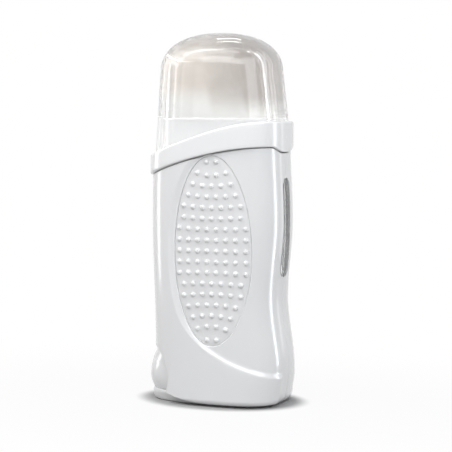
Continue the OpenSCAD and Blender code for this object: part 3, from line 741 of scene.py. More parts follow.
PLATE_METAL = DrawnMetal("plate_metal", "plates", (0.72, 0.72, 0.73), 0.4, (40.0, 900.0, 900.0))
BAND_STEEL = DrawnMetal("band_steel", "bands", (0.5, 0.53, 0.58), 0.28, (60.0, 60.0, 1600.0))
PIN_PLATED = DrawnMetal("pin_plated", "pins", (0.78, 0.76, 0.7), 0.18, (60.0, 2200.0, 2200.0))
SCREW_STEEL = DrawnMetal("screw_steel", "screws", (0.55, 0.56, 0.58), 0.27, (1500.0, 1500.0, 300.0))
GASKET_SILICONE = Rubber("gasket_silicone", "gasket", (0.2, 0.2, 0.21))
ELEMENT_CERAMIC = FiredCeramic("element_ceramic", "elements")
FUSE_CERAMIC = FiredCeramic("fuse_ceramic", "fuse", (0.72, 0.68, 0.58), (0.5, 0.45, 0.36), 0.4)
LEAD_BROWN = MouldedPlastic(
    "lead_brown", "lead_brown", (0.16, 0.06, 0.03), gloss=0.42, grain=4200.0, coat=0.0
)
LEAD_BLUE = MouldedPlastic(
    "lead_blue", "lead_blue", (0.03, 0.11, 0.36), gloss=0.42, grain=4200.0, coat=0.0
)


def dress(
    piece: bpy.types.Object, finish: Finish, body: str, nodes: Sequence[str] = ()
) -> bpy.types.Object:
    """Gives a new piece its finish and its body, and hides the frame nodes it stands for.

    Args:
        piece: The finished mesh object, in place.
        finish: Its finish.
        body: The body it rides on.
        nodes: The frame nodes that it replaces.

    Returns:
        The piece.
    """
    piece.data.materials.clear()
    piece.data.materials.append(finish.material())
    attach(piece, body)
    if nodes:
        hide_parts(*nodes)
    LOG.info("%s: %d faces, on %s", piece.name, len(piece.data.polygons), body)
    return piece


# ---------------------------------------------------------------------------------------------
# The heater's own form
# ---------------------------------------------------------------------------------------------


def arc(radius: float, degrees: Sequence[float]) -> list[tuple[float, float]]:
    """Points of a rounding, as pairs of what is missing across and what is missing up."""
    turns = [math.radians(a) for a in degrees]
    return [(radius * (1 - math.sin(a)), radius * (1 - math.cos(a))) for a in turns]


def ease(share: np.ndarray) -> np.ndarray:
    """Smooth step between 0 and 1."""
    share = np.clip(share, 0.0, 1.0)
    return share * share * (3.0 - 2.0 * share)


def rounded(value: np.ndarray, squareness: float) -> np.ndarray:
    """Side factor of a rounded section, from a sine or cosine."""
    return np.sign(value) * np.abs(value) ** (2.0 / squareness)


def stations(chain: Sequence[tuple[float, float]], z: np.ndarray) -> np.ndarray:
    """Value at a height on a chain of stations, level at each of them."""
    heights = np.array([c[0] for c in chain], float)
    values = np.array([c[1] for c in chain], float)
    z = np.clip(np.asarray(z, float), heights[0], heights[-1])
    i = np.clip(np.searchsorted(heights, z, side="right") - 1, 0, len(chain) - 2)
    share = ease((z - heights[i]) / (heights[i + 1] - heights[i]))
    return values[i] + (values[i + 1] - values[i]) * share


def section(
    angle: np.ndarray, left: np.ndarray, right: np.ndarray, half: np.ndarray, squareness: float
) -> tuple[np.ndarray, np.ndarray]:
    """Point of a rounded cross-section.

    Args:
        angle: Angles in degrees.
        left: Reach to the left.
        right: Reach to the right.
        half: Half of the depth.
        squareness: Exponent of the rounding.

    Returns:
        X and Y, in millimetres.
    """
    turn = np.radians(angle)
    middle, reach = (right - left) / 2.0, (right + left) / 2.0
    x = middle + reach * rounded(np.cos(turn), squareness)
    return x, half * rounded(np.sin(turn), squareness)


def even_angles(start: float, end: float, half_w: float, half_d: float, squareness: float,
                steps: int) -> tuple[np.ndarray, np.ndarray]:
    """Angles at even distances round a section.

    Args:
        start: First angle in degrees.
        end: Last angle in degrees.
        half_w: Half of the section's width.
        half_d: Half of its depth.
        squareness: Exponent of its rounding.
        steps: Number of steps in the table.

    Returns:
        A table of distances from the start and the angles that belong to them.
    """
    angles = np.linspace(start, end, steps)
    x, y = section(angles, half_w, half_w, half_d, squareness)
    run = np.concatenate([[0.0], np.cumsum(np.hypot(np.diff(x), np.diff(y)))])
    return run, angles


@dataclass(frozen=True)
class BodyForm:
    """Outer form of the heater: reaches, collar edges, lower edge and the raised field."""

    half_depth: float = 26.1
    squareness: float = 3.1
    wall: float = 2.0
    seam_gap: float = 0.1
    collar_seam: float = 0.5
    lift: float = 1.5
    edge_climb: float = 4.6
    edge_round: float = 3.2
    right: tuple = ((0, 38.2), (19, 40.1), (59, 36.0), (101, 38.8), (152, 37.0))
    left: tuple = ((36, 34.9), (101, 36.7), (152, 35.8))
    collar_half_w: float = 38.7
    collar_half_d: float = 28.2
    collar_top_left: float = 137.0
    collar_top_right: float = 155.9
    collar_low_left: float = 125.5
    collar_low_right: float = 142.0
    collar_droop: float = 3.0
    droop_start: float = 0.972
    cut_x: float = -40.4
    cut_z: float = 14.2
    cut_r: float = 18.4
    grip_x: float = 4.65
    grip_z: float = 85.5
    grip_half_w: float = 22.2
    grip_half_h: float = 51.8
    grip_gap: float = 0.1
    field_height: float = 1.1
    field_bevel: float = 2.4
    field_end_z: float = 18.4
    field_bow: float = 9.0
    field_bow_drop: float = 23.4
    field_leave: float = 219.0
    field_top: float = 104.0
    field_margin: float = 1.0
    field_soft: float = 0.004
    front_fade: float = 1.1
    back_fade: float = 6.0
    collar_top_bow: float = 1.15
    collar_low_bow: float = 0.95
    climb_bow: float = 1.6
    cut_share: float = 0.87

    def right_reach(self, z: np.ndarray) -> np.ndarray:
        """Right side's reach at a height."""
        return stations(self.right, z)

    def left_reach(self, z: np.ndarray) -> np.ndarray:
        """Left side's reach at a height."""
        return stations(self.left, z)

    def edge_inset(self, z: np.ndarray) -> np.ndarray:
        """How far the surface draws in at the rounded lower edge."""
        below = np.clip(self.lift + EDGE_START * self.edge_round - z, 0.0, self.edge_round)
        return self.edge_round - np.sqrt(self.edge_round**2 - below**2)

    def point(self, angle: np.ndarray, z: np.ndarray, grow: np.ndarray) -> np.ndarray:
        """Point on the body, grown by a distance, at an angle and a height."""
        g = grow - self.edge_inset(z)
        x, y = section(
            angle, self.left_reach(z) + g, self.right_reach(z) + g, self.half_depth + g,
            self.squareness,
        )
        return np.stack([x, y, z + 0.0 * x], axis=-1)

    def front_angle(self, x: np.ndarray, z: np.ndarray, grow: np.ndarray) -> np.ndarray:
        """Angle at which the front's outline passes a sideways place."""
        g = grow - self.edge_inset(z)
        left, right = self.left_reach(z) + g, self.right_reach(z) + g
        share = np.clip((x - (right - left) / 2.0) / ((right + left) / 2.0), -1.0, 1.0)
        bent = np.sign(share) * np.abs(share) ** (self.squareness / 2.0)
        return 360.0 - np.degrees(np.arccos(bent))

    def face_y(self, x: np.ndarray, z: np.ndarray, grow: np.ndarray) -> np.ndarray:
        """Distance of the front face from the middle plane."""
        return self.point(self.front_angle(x, z, grow), z, grow)[..., 1]

    def collar_top(self, x: np.ndarray) -> np.ndarray:
        """Height of the collar's top edge."""
        share = np.clip((x + self.collar_half_w) / (2 * self.collar_half_w), 0.0, 1.0)
        rise = self.collar_top_right - self.collar_top_left
        return self.collar_top_left + rise * np.sin(math.pi / 2 * share**self.collar_top_bow)

    def collar_low(self, x: np.ndarray) -> np.ndarray:
        """Height of the collar's lower edge."""
        share = np.clip((x + self.collar_half_w) / (2 * self.collar_half_w), 0.0, 1.0)
        rise = self.collar_low_right - self.collar_low_left
        past = np.clip(share - self.droop_start, 0.0, None) / (1.0 - self.droop_start)
        droop = self.collar_droop * past**2
        bent = np.sin(math.pi / 2 * share**self.collar_low_bow)
        return self.collar_low_left + rise * bent - droop

    def collar_x(self, angle: np.ndarray) -> np.ndarray:
        """Sideways place of the collar's outer face at an angle."""
        return self.collar_half_w * rounded(np.cos(np.radians(angle)), self.squareness)

    def shell_top(self, angle: np.ndarray) -> np.ndarray:
        """Height of the halves' upper edge at an angle."""
        return self.collar_low(self.collar_x(angle)) - self.collar_seam

    def shell_low(self, x: np.ndarray) -> np.ndarray:
        """Height of the halves' lower edge."""
        reach = -self.cut_x - self.cut_share * self.cut_r
        return self.lift + self.edge_climb * np.clip(-x / reach, 0.0, None) ** self.climb_bow

    def field_edge(self) -> np.ndarray:
        """The raised field's edge as points, from above the collar to past the right side."""
        turn = np.radians(np.linspace(self.field_top, self.field_leave, 260))
        oval = np.stack(
            [
                self.grip_x + (self.grip_half_w + self.field_margin) * np.cos(turn),
                self.grip_z + (self.grip_half_h + self.field_margin) * np.sin(turn),
            ],
            axis=-1,
        )
        start = oval[-1]
        middle = start + np.array([self.field_bow, -self.field_bow_drop])
        end = np.array([self.right[1][1], self.field_end_z])
        t = np.linspace(0.0, 1.0, 220)[1:, None]
        bow = (1 - t) ** 2 * start + 2 * t * (1 - t) * middle + t**2 * end
        top = np.stack([np.full(24, oval[0][0]), np.linspace(oval[0][1] + 24, oval[0][1], 24)], -1)
        run = (bow[-1] - bow[-2]) / np.linalg.norm(bow[-1] - bow[-2])
        past = bow[-1] + run * np.linspace(0.5, 12.0, 24)[:, None]
        return np.concatenate([top[:-1], oval, bow, past])

    def field_rise(self, x: np.ndarray, z: np.ndarray, face: Face) -> np.ndarray:
        """How far the surface stands proud at a place: the raised field and its bevel.

        Args:
            x: Sideways places.
            z: Heights.
            face: The broad face; the field runs out towards the right over its own distance.

        Returns:
            The rise at each place.
        """
        edge = self.field_edge()
        run = np.gradient(edge, axis=0)
        run /= np.linalg.norm(run, axis=1, keepdims=True)
        across = np.stack([run[:, 1], -run[:, 0]], axis=-1)
        at = np.stack([x.ravel(), z.ravel()], axis=-1)
        inside = np.empty(len(at))
        for i in range(0, len(at), 4000):
            gap = at[i : i + 4000, None, :] - edge[None]
            near = np.argmin((gap**2).sum(-1), axis=1)
            picked = gap[np.arange(len(near)), near]
            inside[i : i + 4000] = (picked * across[near]).sum(-1)
        share = inside.reshape(x.shape) / self.field_bevel
        soft = self.field_soft
        ramp = 0.5 * (np.sqrt(share**2 + soft) - np.sqrt((share - 1) ** 2 + soft) + 1.0)
        room = self.right_reach(z) - self.edge_inset(z) - x
        fade = self.front_fade if face is Face.FRONT else self.back_fade
        return self.field_height * np.clip(ramp, 0.0, 1.0) * ease(room / fade)


FORM = BodyForm()


# ---------------------------------------------------------------------------------------------
# Moulded halves
# ---------------------------------------------------------------------------------------------


@dataclass
class MouldedHalves:
    """The two glossy halves: one surface round the oval, with the raised field pressed into it."""

    form: BodyForm = FORM
    sides: tuple[int, int, int, int] = (120, 150, 110, 140)
    rings: int = 112
    inner_rings: int = 8
    edge_fillet: float = 0.35
    lip_fillet: float = 0.6
    window_z: float = 97.7
    window_len: float = 54.74
    window_w: float = 10.24
    window_x: float = 38.0
    half_w: float = 37.6
    inner_height: float = 132.0
    height: float = 134.0
    low_z: float = 2.0

    def _outer_loop(self, inset: float) -> tuple[np.ndarray, np.ndarray]:
        """Shares along and up the half, once round its own four edges.

        Args:
            inset: Distance kept inside the edges.

        Returns:
            The sideways and the upward shares.
        """
        right, top, left, low = self.sides
        a, b = inset / self.length, inset / self.inner_height
        u = [np.full(right, 1.0), 1.0 - np.arange(top) / top, np.zeros(left), np.arange(low) / low]
        v = [np.arange(right) / right, np.full(top, 1.0), 1.0 - np.arange(left) / left,
             np.zeros(low)]
        return a + (1 - 2 * a) * np.concatenate(u), b + (1 - 2 * b) * np.concatenate(v)

    def _oval_loop(self, grow: float, sink: float) -> tuple[np.ndarray, np.ndarray]:
        """The oval opening's outline, as shares along and up the half."""
        f = self.form
        x = f.grip_x + (f.grip_half_w + grow) * np.cos(self.turns)
        z = f.grip_z + (f.grip_half_h + grow) * np.sin(self.turns)
        angle = f.front_angle(x, z, -sink)
        return self._share_at(angle), self._up_at(angle, z)

    def _share_at(self, angle: np.ndarray) -> np.ndarray:
        """Share of the way along the half at an angle."""
        return np.interp(angle, self.table_angle, self.table_run) / self.length

    def _angle_at(self, share: np.ndarray) -> np.ndarray:
        """Angle at a share of the way along the half."""
        return np.interp(share * self.length, self.table_run, self.table_angle)

    def _low_at(self, angle: np.ndarray) -> np.ndarray:
        """Height of the lower edge at an angle."""
        return self.form.shell_low(self.form.point(angle, np.full_like(angle, 5.0), 0.0)[..., 0])

    def _up_at(self, angle: np.ndarray, z: np.ndarray) -> np.ndarray:
        """Share of the way up the half at an angle and a height."""
        low = self._low_at(angle)
        return (z - low) / (self.form.shell_top(angle) - low)

    def _places(
        self, u: np.ndarray, v: np.ndarray, sink: float, face: Optional[Face] = None
    ) -> np.ndarray:
        """Places on the half for shares along and up it.

        Args:
            u: Shares along the half.
            v: Shares up the half.
            sink: Distance below the main face.
            face: The face whose raised field is added; none on the inside.

        Returns:
            The places, in millimetres.
        """
        f = self.form
        angle = self._angle_at(u)
        low = self._low_at(angle)
        z = low + (f.shell_top(angle) - low) * v
        grow = np.full_like(z, -sink)
        if face is not None:
            plain = f.point(angle, z, np.zeros_like(z))
            grow = grow + f.field_rise(plain[..., 0], z, face)
        points = f.point(angle, z, grow)
        points[..., 1] = np.minimum(points[..., 1], -f.seam_gap / 2.0)
        return points

    def _sections(self, face: Face) -> np.ndarray:
        """All rows of a half, from the oval's lip outwards and back along the inside."""
        f = self.form
        self.table_run, self.table_angle = even_angles(
            180.0, 360.0, self.half_w, f.half_depth, f.squareness, TABLE_STEPS
        )
        self.length = float(self.table_run[-1])
        u, v = self._outer_loop(self.edge_fillet)
        mid_u = float(self._share_at(np.array([f.front_angle(np.array(f.grip_x),
                                                             np.array(f.grip_z), 0.0)]))[0])
        mid_v = (f.grip_z - self.low_z) / self.height
        self.turns = np.arctan2((v - mid_v) * self.height / f.grip_half_h,
                                (u - mid_u) * self.length / f.grip_half_w)
        lip, r = self.lip_fillet, self.edge_fillet
        rows = []
        for grow, sink in arc(lip, (90, 70, 50, 35, 20, 8)):
            a, b = self._oval_loop(f.grip_gap + grow, sink)
            rows.append(self._places(a, b, sink, face))
        iu, iv = self._oval_loop(f.grip_gap + lip, 0.0)
        for j in range(self.rings + 1):
            w = (j / self.rings) ** 1.25
            rows.append(self._places(iu + (u - iu) * w, iv + (v - iv) * w, 0.0, face))
        for inset, sink in arc(r, (30, 60, 90)):
            a, b = self._outer_loop(inset)
            rows.append(self._places(a, b, sink, face))
        u, v = self._outer_loop(0.0)
        iu, iv = self._oval_loop(f.grip_gap, f.wall)
        for j in range(self.inner_rings + 1):
            w = j / self.inner_rings
            rows.append(self._places(u + (iu - u) * w, v + (iv - v) * w, f.wall))
        return np.stack(rows)

    def _window_cutter(self) -> bpy.types.Object:
        """A bar with round ends for the window's slot."""
        sides, at = 48, (self.window_x, 0, 0)
        radius = self.window_w / 2.0 / math.cos(math.pi / sides)
        cutter = cylinder("window_cutter", radius, 12, sides, at, (math.pi / 2, 0, math.pi / 2))
        settle(cutter)
        edit(cutter, lambda: bpy.ops.transform.rotate(
            value=math.pi / sides, orient_axis="X", center_override=[c * MM for c in at]))
        shift = (self.window_len - self.window_w) / 2.0
        co = corners(cutter) / MM
        co[:, 2] += np.sign(co[:, 2]) * shift + self.window_z
        write_points(cutter, co)
        return cutter

    def build(self) -> list[bpy.types.Object]:
        """Builds and dresses both halves.

        Returns:
            The front and the back half.
        """
        f = self.form
        made = []
        for face in Face:
            name = "front_half" if face is Face.FRONT else "back_half"
            sections = self._sections(face)
            piece = shaped_ring(name, sections * np.array([1.0, -face.value, 1.0]))
            cut(piece, cylinder("round_cut", f.cut_r, 70, 160, (f.cut_x, 0, f.cut_z),
                                (math.pi / 2, 0, 0)))
            cut(piece, self._window_cutter())
            smooth(piece, 32)
            node = "front_shell" if face is Face.FRONT else "back_shell"
            made.append(dress(piece, SHELL_WHITE, "base", [node]))
        return made


@dataclass
class OvalGrips:
    """The matt oval plate with its domes, one on each broad face."""

    form: BodyForm = FORM
    sides: int = 160
    rings: int = 22
    sink: float = 0.6
    fillet: float = 0.25
    flange: float = 1.6
    flange_end: float = 0.4
    flange_t: float = 0.8
    dome_r: float = 1.45
    dome_rise: float = 1.35
    rows: int = 17
    row_pitch: float = 6.15
    pitch: float = 5.5
    least_pitch: float = 5.4
    margin: float = 2.2
    end_margin: float = 1.0
    row_bow: float = 2.3

    def _oval(self, share: float, grow: float, grow_end: float, sink: float) -> np.ndarray:
        """One ring of the plate at a share of its outline and a depth below the main face."""
        f = self.form
        turn = np.arange(self.sides) * math.tau / self.sides
        x = f.grip_x + (f.grip_half_w + grow) * share * np.cos(turn)
        z = f.grip_z + (f.grip_half_h + grow_end) * share * np.sin(turn)
        return np.stack([x, f.face_y(x, z, np.full_like(x, -sink)), z], axis=-1)

    def _plate(self) -> np.ndarray:
        """All rings of the plate, from the face's middle round the flange to the back."""
        f, r = self.form, self.fillet
        rows = [self._oval(j / self.rings, -r, -r, self.sink) for j in range(1, self.rings + 1)]
        rows += [self._oval(1.0, -i, -i, self.sink + s) for i, s in arc(r, (30, 60, 90))]
        rows.append(self._oval(1.0, 0.0, 0.0, f.wall + 0.05))
        rows.append(self._oval(1.0, self.flange, self.flange_end, f.wall + 0.05))
        rows.append(self._oval(1.0, self.flange, self.flange_end, f.wall + self.flange_t))
        rows += [self._oval(j / 6, 0.0, 0.0, f.wall + self.flange_t) for j in range(6, 0, -1)]
        return np.stack(rows)

    def _middle(self, sink: float) -> tuple[float, float, float]:
        """Middle of the plate at a depth below the main face."""
        f = self.form
        y = f.face_y(np.array(f.grip_x), np.array(f.grip_z), np.array(-sink))
        return (f.grip_x, float(y), f.grip_z)

    def _sphere_r(self) -> float:
        """Radius of a dome's sphere."""
        return (self.dome_r**2 + self.dome_rise**2) / (2 * self.dome_rise)

    def _dome_places(self) -> list[tuple[float, float, float]]:
        """Centres of the domes' spheres on the front, in millimetres."""
        f = self.form
        sphere_r = self._sphere_r()
        places = []
        for row in range(self.rows):
            up = (row - (self.rows - 1) / 2) * self.row_pitch
            width = math.sqrt(1 - (up / (f.grip_half_h - self.end_margin)) ** 2)
            half_row = f.grip_half_w * width - self.margin
            count = math.floor(2 * half_row / self.least_pitch) + 1
            pitch = min(self.pitch, 2 * half_row / (count - 1))
            for i in range(count):
                along = (i - (count - 1) / 2) * pitch
                bow = self.row_bow * (1 - (along / half_row) ** 2) * up / f.grip_half_h
                x, z = f.grip_x + along, f.grip_z + up - bow
                y = f.face_y(np.array(x), np.array(z), np.array(-self.sink))
                places.append((x, float(y) + sphere_r - self.dome_rise, z))
        return places

    def _one_dome(self) -> bpy.types.Object:
        """One dome about its sphere's centre, looking along -Y, its foot just under the plate."""
        sphere_r = self._sphere_r()
        deselect_all()
        bpy.ops.mesh.primitive_uv_sphere_add(
            segments=14, ring_count=9, radius=sphere_r * MM, rotation=(math.pi / 2, 0, 0)
        )
        dome = added("dome")
        settle(dome)
        foot = (self.dome_rise - sphere_r + 0.35) * MM
        edit(dome, lambda: bpy.ops.mesh.bisect(
            plane_co=(0, foot, 0), plane_no=(0, 1, 0), clear_outer=True, use_fill=True))
        return dome

    def build(self) -> list[bpy.types.Object]:
        """Builds and dresses the plates and the domes of both faces.

        Returns:
            The plates and the dome fields.
        """
        made = []
        sections = self._plate()
        places = self._dome_places()
        for face in Face:
            word = "front" if face is Face.FRONT else "back"
            flip = np.array([1.0, -face.value, 1.0])
            plate = shaped_ball(
                f"{word}_grip_plate",
                np.array(self._middle(self.sink)) * flip,
                sections * flip,
                np.array(self._middle(self.form.wall + self.flange_t)) * flip,
            )
            smooth(plate, 32)
            made.append(dress(plate, GRIP_MATT, "base", [f"{word}_grip"]))
            domes = spread(self._one_dome(), [Vector(place) * MM for place in places],
                           f"{word}_grip_domes")
            if face is Face.BACK:
                domes.data.transform(Matrix.Scale(-1, 4, (0, 1, 0)))
            face_outward(domes)
            smooth(domes, 50)
            made.append(dress(domes, LIT_GRIP_DOMES, "base", [f"{word}_grip"]))
        return made


# ---------------------------------------------------------------------------------------------
# Collar, neck and cap
# ---------------------------------------------------------------------------------------------


@dataclass
class CollarAndNeck:
    """The swept collar band with the cap's groove and the neck round the chamber's mouth."""

    form: BodyForm = FORM
    columns: int = 200
    lip_wall: float = 2.0
    groove: float = 4.0
    neck_half_w: float = 30.8
    neck_half_d: float = 22.1
    neck_squareness: float = 4.0
    inner_squareness: float = 4.5
    neck_z: float = 157.6
    neck_wall: float = 2.0
    rim_wall: float = 3.0
    rim_lip_t: float = 1.5
    spigot_h: float = 4.0
    spigot_inset: float = 5.6
    spigot_w_inset: float = 5.6
    low_round: float = 0.9
    top_round: float = 1.2
    lip_round: float = 0.5
    rim_round: float = 0.8
    mouth_round: float = 0.4

    def angles(self) -> np.ndarray:
        """Angles of the columns, at even distances round the collar."""
        f = self.form
        run, table = even_angles(0.0, 360.0, f.collar_half_w, f.collar_half_d, f.squareness,
                                 2 * TABLE_STEPS - 1)
        return np.interp(np.arange(self.columns) * run[-1] / self.columns, run, table)

    def _ring(self, half_w: float, half_d: float, squareness: float, z: Any) -> np.ndarray:
        """One section at its own heights."""
        angle = self.angles()
        x, y = section(angle, half_w, half_w, half_d, squareness)
        return np.stack([x, y, z + 0.0 * x], axis=-1)

    def collar(self, inset: float, z: Any) -> np.ndarray:
        """A section of the collar, drawn in by a distance."""
        f = self.form
        return self._ring(f.collar_half_w - inset, f.collar_half_d - inset, f.squareness, z)

    def _neck(self, inset: float, z: Any, squareness: float) -> np.ndarray:
        """A section of the neck, drawn in by a distance."""
        return self._ring(self.neck_half_w - inset, self.neck_half_d - inset, squareness, z)

    def _spigot(self, inset: float, z: Any) -> np.ndarray:
        """A section of the spigot inside the halves."""
        f = self.form
        return self._ring(
            f.collar_half_w - self.spigot_w_inset - inset,
            f.collar_half_d - self.spigot_inset - inset, f.squareness, z,
        )

    def _sections(self) -> np.ndarray:
        """All sections of the ring."""
        f = self.form
        x = f.collar_x(self.angles())
        top, low = f.collar_top(x), f.collar_low(x)
        rows = [self._spigot(0, low - self.spigot_h), self._spigot(0, low)]
        rows += [self.collar(i, low + s) for i, s in arc(self.low_round, QUARTER)]
        first, last = low + self.low_round, top - self.top_round
        rows += [self.collar(0, first + (last - first) * t) for t in (0.2, 0.4, 0.6, 0.8)]
        rows += [self.collar(s, top - i) for i, s in arc(self.top_round, QUARTER)]
        rows += [self.collar(self.lip_wall - i, top - s)
                 for i, s in arc(self.lip_round, QUARTER[1:])]
        floor = top - self.groove
        rows += [self.collar(self.lip_wall, floor), self._neck(0, floor, self.neck_squareness)]
        high = self.neck_z - self.rim_round
        rows += [self._neck(0, floor + (high - floor) * t, self.neck_squareness)
                 for t in (0.2, 0.4, 0.6, 0.8)]
        rows += [self._neck(s, self.neck_z - i, self.neck_squareness)
                 for i, s in arc(self.rim_round, QUARTER)]
        inner = self.inner_squareness
        rows += [self._neck(self.rim_wall - i, self.neck_z - s, inner)
                 for i, s in arc(self.mouth_round, QUARTER[::2])]
        under = self.neck_z - self.rim_lip_t
        rows += [self._neck(self.rim_wall, under, inner), self._neck(self.neck_wall, under, inner),
                 self._neck(self.neck_wall, top - self.groove - 2, inner)]
        rows += [self._spigot(f.wall, low - 1.5), self._spigot(f.wall, low - self.spigot_h)]
        return np.stack(rows)

    def build(self) -> bpy.types.Object:
        """Builds and dresses the ring."""
        piece = shaped_ring("collar_and_neck", self._sections())
        smooth(piece, 36)
        return dress(piece, LIT_NECK_WHITE, "base", ["neck_frame"])


@dataclass
class ClearCap:
    """The clear cap: a straight skirt that stands in the groove, then a full dome."""

    collar: CollarAndNeck = field(default_factory=CollarAndNeck)
    overall_h: float = 204.4
    dome_z: float = 183.4
    half_w: float = 32.8
    half_d: float = 24.9
    fullness: float = 2.3
    wall: float = 1.8
    gap: float = 0.3
    foot_gap: float = 0.9
    dome_rows: int = 30
    skirt_rows: int = 14

    def _skirt(self, share: float, wall: float) -> np.ndarray:
        """A section of the skirt at a share of its height."""
        c, f = self.collar, self.collar.form
        w0 = f.collar_half_w - c.lip_wall - self.gap
        d0 = f.collar_half_d - c.lip_wall - self.gap
        w = w0 + (self.half_w - w0) * share
        d = d0 + (self.half_d - d0) * share
        foot = f.collar_top(f.collar_x(c.angles())) - c.groove + self.foot_gap
        return c._ring(w - wall, d - wall, f.squareness, foot + (self.dome_z - foot) * share)

    def _dome(self, turn: float, wall: float) -> np.ndarray:
        """A section of the dome at a turn from its foot towards its top."""
        c, f = self.collar, self.collar.form
        out = max(0.0, math.cos(math.radians(turn))) ** (2 / self.fullness)
        up = math.sin(math.radians(turn)) ** (2 / self.fullness)
        height = self.overall_h - self.dome_z
        return c._ring((self.half_w - wall) * out, (self.half_d - wall) * out,
                       f.squareness - 0.4 * up, self.dome_z + (height - wall) * up)

    def build(self) -> bpy.types.Object:
        """Builds and dresses the cap."""
        turns = [90 * (1 - (i / self.dome_rows)) for i in range(1, self.dome_rows)]
        rows = [self._dome(t, 0.0) for t in turns]
        shares = [1 - i / self.skirt_rows for i in range(self.skirt_rows + 1)]
        rows += [self._skirt(s, 0.0) for s in shares[:-1]]
        soft = 0.35
        foot_out, foot_in = self._skirt(0.0, 0.0), self._skirt(0.0, self.wall)
        bend = ((0.0, soft), (0.1, 0.1), (soft, 0.0))
        for start, end, steps in ((foot_out, foot_in, bend), (foot_in, foot_out, bend[::-1])):
            for inset, lift in steps:
                ring = start + (end - start) * inset / self.wall
                ring[:, 2] += lift
                rows.append(ring)
        rows += [self._skirt(s, self.wall) for s in shares[-2::-1]]
        rows += [self._dome(t, self.wall) for t in turns[::-1]]
        piece = shaped_ball(
            "clear_cap", (0, 0, self.overall_h), np.stack(rows), (0, 0, self.overall_h - self.wall)
        )
        smooth(piece, 50)
        return dress(piece, CAP_CLEAR, "cap", ["cap"])


# ---------------------------------------------------------------------------------------------
# Window, inlet housing and base
# ---------------------------------------------------------------------------------------------


@dataclass
class WindowInsert:
    """The clear insert in the right side's slot, its edges softly rounded."""

    edge: float = 0.45

    def build(self) -> bpy.types.Object:
        """Builds and dresses the insert."""
        piece = copy_of_node("window_lens", "window_insert")
        round_edges(piece, self.edge)
        smooth(piece, 30)
        return dress(piece, WINDOW_CLEAR, "base", ["window_lens"])


